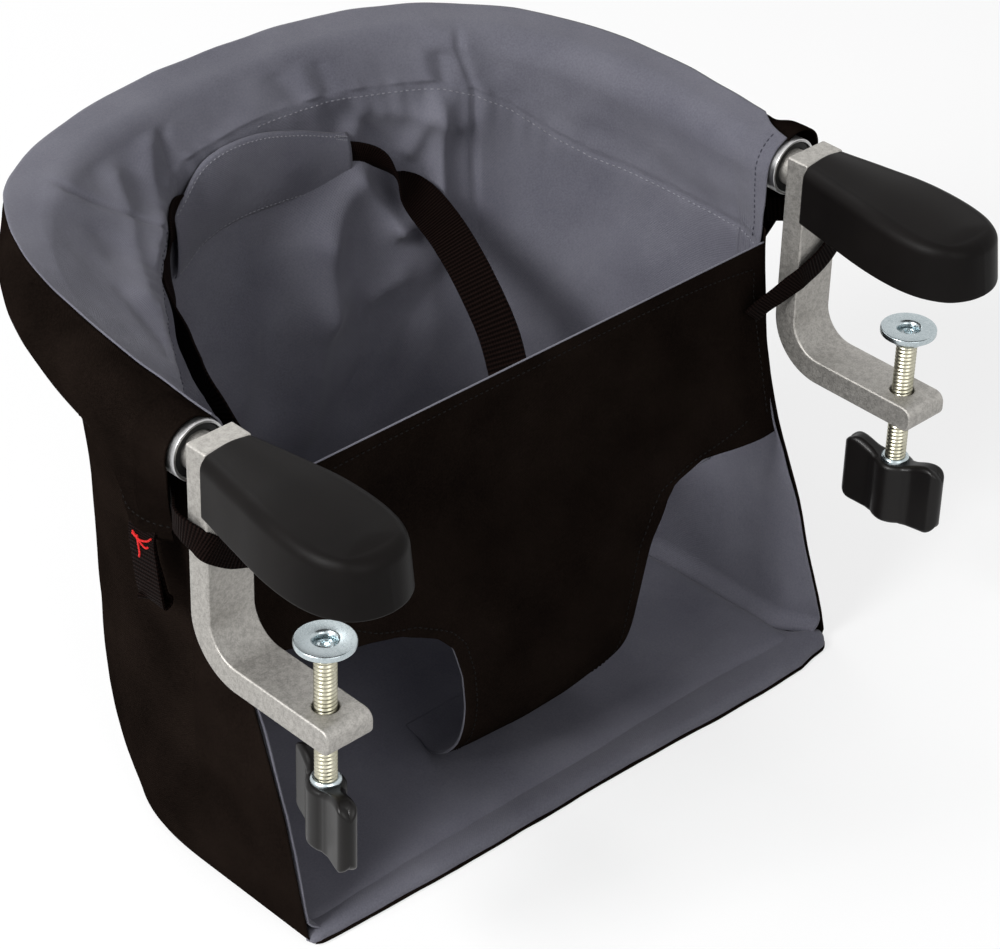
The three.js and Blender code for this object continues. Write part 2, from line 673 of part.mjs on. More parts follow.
// Rim sleeve: the casing round the tube, open at both front ends, with its outer flap
const sleeveAngleShares = [-0.11, 0.03, 0.17, 0.31, 0.45, 0.59, 0.73, 0.87, 1.01, 1.14];
const sleeveAngleStep = Math.PI * (sleeveAngleShares[1] - sleeveAngleShares[0]);
const sleeveRadius = (tubeRadius + gap) / Math.cos(sleeveAngleStep / 2) + sleeveCloth;
function sleeveRing(u, skin) {
  const t = framePath.getUtoTmapping(u);
  const centre = framePath.getPoint(t);
  const along = framePath.getTangent(t).setZ(0).normalize();
  const out = v3(-along.y, along.x, 0);
  // The hem slants: each point of the first ring starts further back, and the slant fades behind it
  const slant = (startY) => (startY - tubeEndY) * Math.max(0, 1 - (centre.y - tubeEndY) / hemLength);
  const seam = wallPoint(t, wallTop);
  const level = THREE.MathUtils.smoothstep(-centre.y - slant(flapStart), -flapMergeY, -flapLevelY);
  const hem = mix(-wallTop, flapDrop, level);
  const stand = mix(sleeveCloth * 3, flapFlare, level);
  const tip = skin * sleeveCloth;
  const radius = sleeveRadius - tip;
  const around = sleeveAngleShares.map((share) => {
    const angle = Math.PI * share;
    const startY = share < 0.5
      ? mix(sleeveOuterStart, sleeveTopStart, Math.max(0, share * 2) ** 0.6)
      : mix(sleeveTopStart, sleeveInnerStart, share - 0.5);
    return centre.clone().addScaledVector(out, radius * Math.cos(angle))
      .add(v3(0, slant(startY), radius * Math.sin(angle)));
  });
  const flank = seam.clone().addScaledVector(out, gap + stand - tip);
  flank.add(v3(0, slant(flapStart), 0)).setZ(-hem + tip * 2);
  if (t < legShare || t > 1 - legShare) {
    // On the straight legs the seam is read where the slanted hem has put it
    const innerY = centre.y + slant(sleeveInnerStart);
    const alongLeg = (innerY - wallFrontTop) / (frameLeg - wallFrontTop);
    const legTurn = legShare * THREE.MathUtils.clamp(alongLeg, 0, 1);
    seam.copy(wallPoint(t < legShare ? legTurn : 1 - legTurn, wallTop)).setY(innerY);
    flank.y = centre.y + slant(flapStart);
  }
  const inner = seam.clone().addScaledVector(out, gap * 3 + tip).setZ(wallTop + tip * 2);
  return [flank, ...around, inner];
}
function rimSleeve(from, to) {
  const steps = Math.round((to - from) * frameSteps);
  const rings = (skin) => Array.from({ length: steps + 1 },
    (_, i) => sleeveRing(mix(from, to, i / steps), skin));
  const [outer, inner] = [rings(0), rings(1)];
  const count = outer[0].length;
  const at = (skin, i, j) => skin * outer.length * count + i * count + (j % count);
  const index = [];
  const quad = (a, b, c, d) => index.push(a, b, c, a, c, d);
  for (let j = 0; j < count; j++) {
    for (let i = 0; i < steps; i++) {
      quad(at(0, i, j), at(0, i, j + 1), at(0, i + 1, j + 1), at(0, i + 1, j));
      quad(at(1, i, j), at(1, i + 1, j), at(1, i + 1, j + 1), at(1, i, j + 1));
    }
    quad(at(0, 0, j + 1), at(0, 0, j), at(1, 0, j), at(1, 0, j + 1));
    quad(at(0, steps, j), at(0, steps, j + 1), at(1, steps, j + 1), at(1, steps, j));
  }
  return bodyOf([...outer.flat(), ...inner.flat()], index);
}
// The sleeve is sewn from three lengths that meet above the seams of the walls
const pathParts = frameSteps * 8;
const pathLengths = framePath.getLengths(pathParts);
const seamLengthShare = pathLengths[Math.round(seamShare * pathParts)] / pathLengths.at(-1);
const sleeveSeamStep = Math.round(frameSteps * seamLengthShare);
const sleeveSeamShare = sleeveSeamStep / frameSteps;
const sleeveGapShare = seamGapShare * 2.5;
place('left_rim_sleeve', rimSleeve(0, sleeveSeamShare), outerCloth);
const backStartShare = sleeveSeamShare + sleeveGapShare;
place('back_rim_sleeve', rimSleeve(backStartShare, 1 - backStartShare), outerCloth);
place('right_rim_sleeve', rimSleeve(1 - sleeveSeamShare, 1), outerCloth);

// Front panel: a T of cloth whose crotch piece bulges forward and is sewn to the base behind.
// Each row of shares gives the middle's drop and forward place, then the edge's half width, drop and place.
const panelShares = [
  [0, 0, 0.987, 0, 0],
  [0.045, 0.003, 0.997, 0.04, 0.006],
  [0.107, 0.03, 1, 0.126, 0.07],
  [0.184, 0.10, 1.002, 0.242, 0.145],
  [0.256, 0.24, 1.004, 0.353, 0.325],
  [0.31, 0.35, 1.006, 0.464, 0.535],
  [0.343, 0.43, 0.813, 0.438, 0.57],
  [0.377, 0.51, 0.627, 0.418, 0.65],
  [0.411, 0.59, 0.506, 0.445, 0.715],
  [0.479, 0.715, 0.434, 0.498, 0.79],
  [0.585, 0.89, 0.373, 0.59, 0.92],
  [0.682, 0.985, 0.331, 0.682, 1],
  [0.755, 1, 0.313, 0.755, 1],
  [0.827, 0.905, 0.295, 0.827, 0.905],
  [0.9, 0.54, 0.265, 0.9, 0.54],
];
const panelFoot = baseTop + gap;
const panelY = (share) => mix(panelTopY, -panelBulge, share);
const panelZ = (share) => mix(panelTop, panelFoot, share);
// The tail that lies on the base: half width, height above the foot and how far back, as shares
const tailShares = [[0.235, 0.05, 0], [0.217, 0.012, 0.36], [0.211, 0, 0.66], [0.205, 0, 1]];
const panelColumns = 14;
function panelGrid() {
  const hung = panelShares.map(([midZShare, midYShare, edgeXShare, edgeZShare, edgeYShare]) => Array.from(
    { length: panelColumns + 1 }, (_, j) => {
      const across = 2 * j / panelColumns - 1;
      const bend = across ** 2;
      return v3(panelWing * edgeXShare * across, panelY(mix(midYShare, edgeYShare, bend)),
        panelZ(mix(midZShare, edgeZShare, bend)));
    }));
  const tail = tailShares.map(([wideShare, upShare, backShare]) => Array.from(
    { length: panelColumns + 1 }, (_, j) => v3(panelWing * wideShare * (2 * j / panelColumns - 1),
      panelTail * backShare, panelZ(1 - upShare))));
  return [...hung, ...tail];
}
// The same grid pushed along its own normals
function offsetGrid(grid, distance) {
  return grid.map((row, i) => row.map((p, j) => {
    const up = grid[Math.max(0, i - 1)][j];
    const down = grid[Math.min(grid.length - 1, i + 1)][j];
    const left = row[Math.max(0, j - 1)];
    const right = row[Math.min(row.length - 1, j + 1)];
    const normal = right.clone().sub(left).cross(down.clone().sub(up)).normalize();
    return p.clone().addScaledVector(normal, distance);
  }));
}
const panelFront = panelGrid();
place('front_panel', slab(panelFront, offsetGrid(panelFront, cloth)), outerCloth);

// Inner face of the back: the wall, and above the seam the slope of the sleeve up to the tube
function innerFace(x, z, inset) {
  const [wide, back] = wallTable[0].slice(1);
  const t = shareAt(x, wide - inset);
  const [, low] = uPlan(t, wide - inset, wallFrontTop, frameLeg, back - inset);
  const upShare = (z - wallTop) / (frameRise - wallTop);
  return v3(x, low + upShare * (frameDepth - tubeRadius - back), z);
}

// Channel on the inner face of the back through which the waist strap runs
const channelInset = gap + pocketCloth;
function harnessPocket() {
  const [columns, rows] = [10, 2];
  const spot = (i, j, inset) => innerFace(
    pocketWidth * (j / columns - 0.5), mix(pocketTop, pocketBottom, i / rows), inset);
  const grid = (inset) => Array.from({ length: rows + 1 },
    (_, i) => Array.from({ length: columns + 1 }, (__, j) => spot(i, j, inset)));
  return slab(grid(cloth + channelInset - pocketCloth), grid(cloth + channelInset));
}
place('harness_pocket', harnessPocket(), lining);

// Waist straps: from the channel's ends over the seat to the buckle behind the front panel.
// Each row of shares is a place across the seat, forward in it and below the tube.
const rightWaistShares = [
  [0.343, 0.765, 0.103], [0.377, 0.668, 0.139], [0.377, 0.571, 0.192],
  [0.371, 0.484, 0.273], [0.36, 0.378, 0.386], [0.3, 0.29, 0.445],
];
const leftWaistShares = [
  [-0.37, 0.78, 0.083], [-0.443, 0.726, 0.139], [-0.488, 0.63, 0.18],
  [-0.49, 0.533, 0.253], [-0.415, 0.4, 0.372], [-0.3, 0.28, 0.45],
];
function waistStrap(side, shares) {
  const rootX = side * (pocketWidth / 2 + gap * 2);
  const rootZ = pocketTop - waistWidth / 2;
  const root = innerFace(rootX, rootZ, cloth + channelInset);
  const next = innerFace(rootX + side * waistWidth / 3, rootZ, cloth + channelInset + webbingThickness * 2);
  const hung = shares.map(([xShare, yShare, dropShare]) => v3(half * xShare, frameDepth * yShare,
    floorZ * dropShare));
  const buckleEnd = side * (side > 0 ? buckleLength / 2 + gap + grabLength : buckleLength / 2);
  const end = v3(buckleEnd + side * gap, buckleY, buckleZ);
  const before = end.clone().add(v3(side * waistWidth / 3, 0, 0));
  const path = [root, next, ...hung, before, end];
  return strapAlong(path, waistWidth, webbingThickness, 30, () => v3(0, 0, 1));
}
place('left_waist_strap', waistStrap(-1, leftWaistShares), webbing);
place('right_waist_strap', waistStrap(1, rightWaistShares), webbing);

// Side-release buckle: a socket on the left strap and a plug with a tongue and two sprung prongs
const cavityThickness = buckleThickness - 2 * buckleWall;
const cavityHeight = buckleHeight - 2 * buckleWall;
function buckleBody(length, height, thickness) {
  const s = new THREE.Shape();
  const [x, z] = [length / 2 - buckleEdge, height / 2 - buckleEdge];
  s.moveTo(-x, -z);
  s.lineTo(x, -z);
  s.lineTo(x, z);
  s.lineTo(-x, z);
  return new THREE.ExtrudeGeometry(s, {
    depth: thickness - 2 * buckleEdge, bevelEnabled: true, bevelThickness: buckleEdge, bevelSize: buckleEdge,
    bevelSegments: 2,
  }).translate(0, 0, -thickness / 2 + buckleEdge).rotateX(Math.PI / 2);
}
function buckleFemale() {
  const depth = tongueLength + gap * 2;
  const cavity = new THREE.BoxGeometry(depth + overrun, cavityThickness, cavityHeight)
    .translate(buckleLength / 2 - depth / 2 + overrun / 2, 0, 0);
  const windows = new THREE.BoxGeometry(tongueLength / 2, cavityThickness, buckleHeight + overrun);
  return cut(buckleBody(buckleLength, buckleHeight, buckleThickness), cavity, windows);
}
function buckleMale() {
  const thickness = cavityThickness - 2 * gap;
  const grab = buckleBody(grabLength, buckleHeight, buckleThickness).translate(grabLength / 2, 0, 0);
  const arm = (width, z) => new THREE.BoxGeometry(tongueLength + buckleEdge, thickness, width)
    .translate((buckleEdge - tongueLength) / 2, 0, z);
  const prongZ = cavityHeight / 2 - prongWidth / 2 - gap;
  return join(grab, arm(tongueWidth, 0), arm(prongWidth, prongZ), arm(prongWidth, -prongZ));
}
place('buckle_female', buckleFemale(), blackPlastic, v3(0, buckleY, buckleZ));
place('buckle_male', buckleMale(), blackPlastic, v3(buckleLength / 2 + gap, buckleY, buckleZ));

// Clamp straps: from the front panel's corner round the clamp's bar to the outer flap behind it
const flapHigh = v3(half + sleeveRadius * Math.cos(Math.PI * sleeveAngleShares[0]), sleeveOuterStart,
  sleeveRadius * Math.sin(Math.PI * sleeveAngleShares[0]));
const flapLow = v3(topHalfWidth + gap + flapFlare, flapStart, -flapDrop);
function clampStrap() {
  const w = strapWidth;
  const innerX = half - barWidth / 2 - strapEase * 1.8;
  const outerX = half + barWidth / 2 + strapEase * 1.4;
  const frontY = barFrontY - strapEase;
  const rootY = barBackY - webbingThickness / 2 + gap;
  const midY = barBackY - barThickness / 2;
  const upright = v3(0, 0, 1);
  const lean = flapHigh.clone().sub(flapLow).normalize();
  const tail = flapLow.clone().lerp(flapHigh, (strapCross + flapDrop) / (flapDrop + flapHigh.z))
    .add(v3(strapEase, w * 0.6, 0));
  return strapAlong([
    v3(innerX - w * 0.72, rootY, strapCross - w * 1.67),
    v3(innerX - w * 0.25, rootY - w * 0.08, strapCross - w * 1.27),
    v3(innerX, midY, strapCross - w * 0.73),
    v3(innerX + strapEase * 0.7, frontY + strapEase * 0.5, strapCross - w * 0.45),
    v3(innerX + strapEase * 3, frontY, strapCross - w * 0.33),
    v3(half, frontY, strapCross),
    v3(outerX - strapEase * 3, frontY, strapCross + w * 0.33),
    v3(outerX - strapEase * 0.7, frontY + strapEase * 0.5, strapCross + w * 0.4),
    v3(outerX, midY, strapCross + w * 0.5),
    v3(outerX, barBackY + strapEase * 2, strapCross + w * 0.42),
    v3(mix(tail.x, outerX, 0.7), mix(barBackY, tail.y, 0.55), strapCross + w * 0.2),
    v3(tail.x + strapEase * 0.4, tail.y - w * 0.5, strapCross),
    tail,
  ], w, webbingThickness, 36, (t) => upright.clone().lerp(lean, THREE.MathUtils.smoothstep(t, 0.7, 0.95)));
}
place('right_clamp_strap', clampStrap(), webbing);
place('left_clamp_strap', mirrored(clampStrap()), webbing);

// Loop of webbing under the hem of the left flap that keeps the rolled seat closed in storage
function storageTab() {
  const t = tabThickness;
  const s = new THREE.Shape();
  s.moveTo(-t / 2, 0);
  s.lineTo(-t / 4, -tabLength + t / 2);
  s.absarc(0, -tabLength + t / 2, t / 4, Math.PI, 2 * Math.PI, false);
  s.lineTo(t / 2, 0);
  return new THREE.ExtrudeGeometry(s, { depth: tabWidth, bevelEnabled: false, curveSegments: 4 });
}
const flapX = -(topHalfWidth + gap + flapFlare - sleeveCloth / 2);
place('storage_tab', storageTab().rotateX(Math.PI / 2), webbing,
  v3(flapX, tabY + tabWidth / 2, -flapDrop - gap));

// The whole is set down so that its origin lies under the middle of its box, on the floor
const box = new THREE.Box3().setFromObject(seat);
const middle = box.getCenter(v3(0, 0, 0));
seat.position.set(-middle.x, -middle.y, -box.min.z);

export default seat;
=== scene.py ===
# %% [markdown]
# # A table chair of cloth and cast metal
# This script dresses a clamp-on table chair for its picture. The hard parts already exist as a
# fixed frame of solids. Here each of them gets its real surface, and the cloth, webbing and
# stitching are modelled as what they are. Every length below is in millimetres from a datum in
# the middle plane, at the ends of the frame tube and on the height of its axis, because those
# are the numbers that a maker would read off the real seat.

# %% Load the frame
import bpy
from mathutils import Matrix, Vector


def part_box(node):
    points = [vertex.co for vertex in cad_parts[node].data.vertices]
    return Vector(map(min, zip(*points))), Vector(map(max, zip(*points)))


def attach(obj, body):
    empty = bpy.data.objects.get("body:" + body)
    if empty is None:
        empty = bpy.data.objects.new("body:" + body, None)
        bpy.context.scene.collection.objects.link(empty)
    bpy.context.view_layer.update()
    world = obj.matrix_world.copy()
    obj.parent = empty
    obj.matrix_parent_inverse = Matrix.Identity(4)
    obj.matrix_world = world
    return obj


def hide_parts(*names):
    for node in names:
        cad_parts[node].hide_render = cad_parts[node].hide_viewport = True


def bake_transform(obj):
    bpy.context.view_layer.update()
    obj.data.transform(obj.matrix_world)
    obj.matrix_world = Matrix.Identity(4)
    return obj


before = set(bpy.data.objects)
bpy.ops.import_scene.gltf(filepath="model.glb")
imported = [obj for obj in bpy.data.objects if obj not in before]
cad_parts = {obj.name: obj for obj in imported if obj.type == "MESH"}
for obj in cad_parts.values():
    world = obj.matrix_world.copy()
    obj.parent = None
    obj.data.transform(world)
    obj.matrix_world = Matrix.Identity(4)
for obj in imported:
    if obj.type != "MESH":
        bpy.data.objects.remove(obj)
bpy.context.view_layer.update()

import math

import bmesh
import bpy
from mathutils import Matrix, Vector, noise

MM = 0.001
tube_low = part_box("frame_tube")[0]
bush_low, bush_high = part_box("left_tube_bush")
screw_low, screw_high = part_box("right_clamp_screw")
TUBE_END = 3.5
DATUM = Vector((0, tube_low.y - TUBE_END * MM, (bush_low.z + bush_high.z) / 2))
HALF = (screw_low.x + screw_high.x) / 2 / MM
print("half the clamp spacing, mm:", round(HALF, 2), "datum:", [round(c, 4) for c in DATUM])


def at(x, y, z):
    """A place in millimetres from the datum, as a point of the scene."""
    return DATUM + Vector((x, y, z)) * MM


# %% [markdown]
# ## Camera
# The photograph was taken from the front left, a little above the rim, with a long lens. A camera
# is three directions: where it looks back to, its right and its up. Writing them as the columns of
# a matrix avoids any doubt about the order of turns.

# %% Camera
CAMERA_PLACE = (-907, -906.8, 778)
CAMERA_AZIMUTH, CAMERA_ELEVATION, CAMERA_ROLL = -44.65, 34.14, 1.66
LENS_PIXELS, FRAME_PIXELS = 3415, 1000
SENSOR = 36


def camera_matrix(place, azimuth, elevation, roll):
    """Turns the three angles of a photograph into a camera's matrix."""
    a, e, r = (math.radians(v) for v in (azimuth, elevation, roll))
    back = Vector((math.sin(a) * math.cos(e), -math.cos(a) * math.cos(e), math.sin(e)))
    level = Vector((math.cos(a), math.sin(a), 0))
    plumb = back.cross(level)
    right = level * math.cos(r) + plumb * math.sin(r)
    up = plumb * math.cos(r) - level * math.sin(r)
    turned = Matrix((right, up, back)).transposed().to_4x4()
    return Matrix.Translation(place) @ turned


camera_data = bpy.data.cameras.new("camera")
camera_data.sensor_width = SENSOR
camera_data.sensor_fit = "HORIZONTAL"
camera_data.lens = SENSOR * LENS_PIXELS / FRAME_PIXELS
camera_data.clip_end = 20
camera = bpy.data.objects.new("camera", camera_data)
camera.matrix_world = camera_matrix(
    at(*CAMERA_PLACE), CAMERA_AZIMUTH, CAMERA_ELEVATION, CAMERA_ROLL)
bpy.context.collection.objects.link(camera)
bpy.context.scene.camera = camera
bpy.context.scene.view_settings.view_transform = "Standard"
print("lens, mm:", round(camera_data.lens, 2))

# %% [markdown]
# ## Floor and light
# The seat stands on a plain white floor under three broad lamps: a large soft one high on the
# left, which rakes along the back wall's folds, a weaker one in front, and one behind that
# draws the rim. The background and most of the floor show white to the camera and to reflections
# only, so that they add no light to the cloth; the rest of the floor's tone keeps the shadow.

# %% Floor and light
def new_object(name, mesh):
    """Links a mesh to the scene as an object that sits at the origin."""
    piece = bpy.data.objects.new(name, mesh)
    bpy.context.collection.objects.link(piece)
    return piece


def mesh_of(bm, name):
    """Turns a bmesh into a smooth-shaded mesh."""
    mesh = bpy.data.meshes.new(name)
    bm.to_mesh(mesh)
    bm.free()
    for face in mesh.polygons:
        face.use_smooth = True
    return mesh


FLOOR_SIZE = 6.0
FLOOR_TONE, FLOOR_WHITENESS = 0.93, 0.72
AMBIENT = 0.22
bm = bmesh.new()
bmesh.ops.create_grid(bm, x_segments=1, y_segments=1, size=FLOOR_SIZE)
floor = new_object("floor", mesh_of(bm, "floor"))


def seen_directly(nodes, links):
    """One where a ray comes from the camera, a mirror or a pane, and zero elsewhere."""
    path = nodes.new("ShaderNodeLightPath")
    total = path.outputs["Is Camera Ray"]
    for other in ("Is Glossy Ray", "Is Transmission Ray"):
        add = nodes.new("ShaderNodeMath")
        add.operation = "MAXIMUM"
        links.new(total, add.inputs[0])
        links.new(path.outputs[other], add.inputs[1])
        total = add.outputs[0]
    return total


floor_paint = bpy.data.materials.new("floor_paint")
floor_paint.use_nodes = True
floor_bsdf = floor_paint.node_tree.nodes["Principled BSDF"]
floor_bsdf.inputs["Base Color"].default_value = (FLOOR_TONE, FLOOR_TONE, FLOOR_TONE, 1)
floor_bsdf.inputs["Roughness"].default_value = 0.9
floor_nodes, floor_links = floor_paint.node_tree.nodes, floor_paint.node_tree.links
white = floor_nodes.new("ShaderNodeEmission")
lift = floor_nodes.new("ShaderNodeMath")
lift.operation = "MULTIPLY"
lift.inputs[1].default_value = FLOOR_WHITENESS
floor_links.new(seen_directly(floor_nodes, floor_links), lift.inputs[0])
blend_floor = floor_nodes.new("ShaderNodeMixShader")
floor_links.new(lift.outputs[0], blend_floor.inputs["Fac"])
floor_links.new(floor_bsdf.outputs[0], blend_floor.inputs[1])
floor_links.new(white.outputs[0], blend_floor.inputs[2])
floor_links.new(blend_floor.outputs[0], floor_nodes["Material Output"].inputs["Surface"])
floor.data.materials.append(floor_paint)

world = bpy.data.worlds.new("studio")
bpy.context.scene.world = world
world.use_nodes = True
sky = world.node_tree.nodes
sky_links = world.node_tree.links
ambient = sky["Background"]
ambient.inputs["Color"].default_value = (1.0, 1.0, 1.02, 1)
ambient.inputs["Strength"].default_value = AMBIENT
backdrop = sky.new("ShaderNodeBackground")
backdrop.inputs["Color"].default_value = (1, 1, 1, 1)
choose = sky.new("ShaderNodeMixShader")
sky_links.new(seen_directly(sky, sky_links), choose.inputs["Fac"])
sky_links.new(ambient.outputs[0], choose.inputs[1])
sky_links.new(backdrop.outputs[0], choose.inputs[2])
sky_links.new(choose.outputs[0], sky["World Output"].inputs["Surface"])

# Place, size in metres and power in watts
LAMP_TARGET = (0, 60, -80)
LAMPS = {
    "key": ((-2200, 150, 1500), 1.0, 88),
    "fill": ((-500, -2200, 1400), 1.6, 22),
    "rim": ((300, 2200, 1500), 1.4, 21),
}


def lamp(name, place, size, power):
    """A square area lamp that faces the seat."""
    data = bpy.data.lights.new(name, "AREA")
    data.size = size
    data.energy = power
    light = bpy.data.objects.new(name, data)
    light.location = at(*place)
    towards = at(*LAMP_TARGET) - light.location
    light.rotation_euler = towards.to_track_quat("-Z", "Y").to_euler()
    bpy.context.collection.objects.link(light)


for lamp_name, (place, size, power) in LAMPS.items():
    lamp(lamp_name, place, size, power)
print("lamps:", list(LAMPS))

# %% [markdown]
# ## Finishes
# Every finish is worked out by nodes, so it needs no picture file. Effects that several finishes
# share are node groups: a weave that is drawn along the cloth's own UV map, whose units are
# metres, and a grain made of noise at two scales. Each group only puts out values that change
# over the surface. Plain numbers, such as a sheen, are set on the shader itself.

# %% Shared effects
def group_of(name, inputs, outputs):
    """A shader node group with named float sockets; inputs come with their usual values."""
    group = bpy.data.node_groups.new(name, "ShaderNodeTree")
    for socket, value in inputs.items():
        added = group.interface.new_socket(socket, in_out="INPUT", socket_type="NodeSocketFloat")
        added.default_value = value
    for socket in outputs:
        group.interface.new_socket(socket, in_out="OUTPUT", socket_type="NodeSocketFloat")
    return group, group.nodes.new("NodeGroupInput"), group.nodes.new("NodeGroupOutput")


def maths(tree, operation, first, second=None, third=None):
    """One Math node; numbers are set on it and sockets are linked to it."""
    node = tree.nodes.new("ShaderNodeMath")
    node.operation = operation
    for socket, value in zip(node.inputs, (first, second, third)):
        if isinstance(value, (int, float)):
            socket.default_value = value
        elif value is not None:
            tree.links.new(value, socket)
    return node.outputs[0]


def weave_group():
    """Warp and weft as crossing ridges, each thread passing over one and under the next."""
    tree, given, result = group_of("weave", {"Thread": 0.0005}, ["Height"])
    uv = tree.nodes.new("ShaderNodeUVMap")
    split = tree.nodes.new("ShaderNodeSeparateXYZ")
    tree.links.new(uv.outputs["UV"], split.inputs[0])
    across = maths(tree, "DIVIDE", split.outputs["X"], given.outputs["Thread"])
    along = maths(tree, "DIVIDE", split.outputs["Y"], given.outputs["Thread"])
    warp = maths(tree, "SINE", maths(tree, "MULTIPLY", across, math.pi))
    weft = maths(tree, "SINE", maths(tree, "MULTIPLY", along, math.pi))
    tree.links.new(maths(tree, "ABSOLUTE", maths(tree, "ADD", warp, weft)), result.inputs["Height"])
    return tree


def grain_group():
    """Fine and coarse noise on object coordinates: Fine for bump, Cloud for broad tone."""
    tree, given, result = group_of("grain", {"Fine": 900.0, "Cloud": 14.0}, ["Fine", "Cloud"])
    place = tree.nodes.new("ShaderNodeTexCoord")
    for socket, detail in (("Fine", 3), ("Cloud", 4)):
        texture = tree.nodes.new("ShaderNodeTexNoise")
        texture.inputs["Detail"].default_value = detail
        tree.links.new(place.outputs["Object"], texture.inputs["Vector"])
        tree.links.new(given.outputs[socket], texture.inputs["Scale"])
        tree.links.new(texture.outputs["Fac"], result.inputs[socket])
    return tree


WEAVE = weave_group()
GRAIN = grain_group()


def group_node(tree, group, **values):
    """Places a group in a material with its own values."""
    node = tree.nodes.new("ShaderNodeGroup")
    node.node_tree = group
    for socket, value in values.items():
        node.inputs[socket].default_value = value
    return node


def two_tone(tree, mask, dark, light, low=0.3, high=0.7):
    """Two colours joined by a mask through a soft ramp."""
    ramp = tree.nodes.new("ShaderNodeValToRGB")
    ramp.color_ramp.elements[0].position = low
    ramp.color_ramp.elements[0].color = (*dark, 1)
    ramp.color_ramp.elements[1].position = high
    ramp.color_ramp.elements[1].color = (*light, 1)
    tree.links.new(mask, ramp.inputs["Fac"])
    return ramp.outputs["Color"]


def joined(tree, first, second, share):
    """Two masks added together, with the first one's share."""
    return maths(tree, "MULTIPLY_ADD", first, share, maths(tree, "MULTIPLY", second, 1 - share))


def finish(name, **constants):
    """A new material, its tree and its shader, with the plain numbers set on the shader."""
    material = bpy.data.materials.new(name)
    material.use_nodes = True
    shader = material.node_tree.nodes["Principled BSDF"]
    for socket, value in constants.items():
        shader.inputs[socket.replace("_", " ")].default_value = value
    return material, material.node_tree, shader


def bumped(tree, shader, height, strength, distance):
    """Feeds a height to the shader's normal."""
    bump = tree.nodes.new("ShaderNodeBump")
    bump.inputs["Strength"].default_value = strength
    bump.inputs["Distance"].default_value = distance
    tree.links.new(height, bump.inputs["Height"])
    tree.links.new(bump.outputs["Normal"], shader.inputs["Normal"])


# %% [markdown]
# ## Cloth finishes
# The lining is a plain grey-violet polyester and the outer cloth is the same weave in a warm
# near-black. Both are dull and mottled where the weave lies unevenly, and only the lining has a
# slight sheen at grazing angles. Webbing has cross ribs, so its wave runs along the strap.

# %% Cloth finishes
def cloth_finish(name, dark, light, thread, roughness, sheen, shine, relief):
    """A woven cloth: cloudy tone, thread-sized relief and as much sheen as asked."""
    material, tree, shader = finish(
        name, Sheen_Weight=sheen, Sheen_Roughness=0.5, Specular_IOR_Level=shine)
    weave = group_node(tree, WEAVE, Thread=thread)
    grain = group_node(tree, GRAIN, Fine=1100.0, Cloud=26.0)
    speck = joined(tree, grain.outputs["Fine"], grain.outputs["Cloud"], 0.45)
    tree.links.new(two_tone(tree, speck, dark, light), shader.inputs["Base Color"])
    rough = maths(tree, "MULTIPLY_ADD", grain.outputs["Fine"], 0.12, roughness)
    tree.links.new(rough, shader.inputs["Roughness"])
    height = maths(tree, "MULTIPLY_ADD", grain.outputs["Fine"], 0.8, weave.outputs["Height"])
    bumped(tree, shader, height, relief, 0.00012)
    return material


def webbing_finish(name, dark, light, pitch):
    """Webbing: ribs across the strap, coloured lighter on their crowns and darker between them."""
    material, tree, shader = finish(name, Specular_IOR_Level=0.02)
    uv = tree.nodes.new("ShaderNodeUVMap")
    split = tree.nodes.new("ShaderNodeSeparateXYZ")
    tree.links.new(uv.outputs["UV"], split.inputs[0])
    turns = maths(tree, "MULTIPLY", split.outputs["Y"], 2 * math.pi / pitch)
    cords = maths(tree, "MULTIPLY", split.outputs["X"], 2 * math.pi / (pitch * 0.8))
    rib = maths(tree, "MULTIPLY_ADD", maths(tree, "SINE", turns), 0.5, 0.5)
    rib = maths(tree, "MULTIPLY_ADD", maths(tree, "SINE", cords), 0.18, rib)
    grain = group_node(tree, GRAIN, Fine=1500.0, Cloud=60.0)
    tone = joined(tree, grain.outputs["Fine"], rib, 0.5)
    tree.links.new(two_tone(tree, tone, dark, light, 0.2, 0.9), shader.inputs["Base Color"])
    tree.links.new(maths(tree, "MULTIPLY_ADD", rib, -0.2, 0.75), shader.inputs["Roughness"])
    bumped(tree, shader, rib, 0.8, 0.0004)
    return material


LINING = cloth_finish(
    "lining_cloth", (0.082, 0.081, 0.104), (0.142, 0.141, 0.168),
    thread=0.00055, roughness=0.62, sheen=0.08, shine=0.2, relief=0.45)
OUTER = cloth_finish(
    "outer_cloth", (0.0032, 0.0022, 0.0018), (0.0112, 0.0077, 0.0061),
    thread=0.0005, roughness=0.9, sheen=0.0, shine=0.0, relief=0.5)
WEBBING = webbing_finish(
    "black_webbing", (0.0008, 0.0005, 0.0004), (0.0085, 0.0042, 0.0034), pitch=0.0016)


def thread_finish(name, colour):
    """Sewing thread: a plain tone with the grain of its twist."""
    material, tree, shader = finish(name, Roughness=0.7, Specular_IOR_Level=0.1)
    grain = group_node(tree, GRAIN, Fine=2500.0, Cloud=200.0)
    dark = tuple(c * 0.7 for c in colour)
    tree.links.new(two_tone(tree, grain.outputs["Fine"], dark, colour), shader.inputs["Base Color"])
    return material


PALE_THREAD = thread_finish("pale_thread", (0.25, 0.25, 0.28))
DARK_THREAD = thread_finish("dark_thread", (0.0035, 0.0028, 0.0026))
RED_THREAD = thread_finish("red_thread", (0.55, 0.02, 0.02))
SLATE_THREAD = thread_finish("slate_thread", (0.05, 0.05, 0.065))
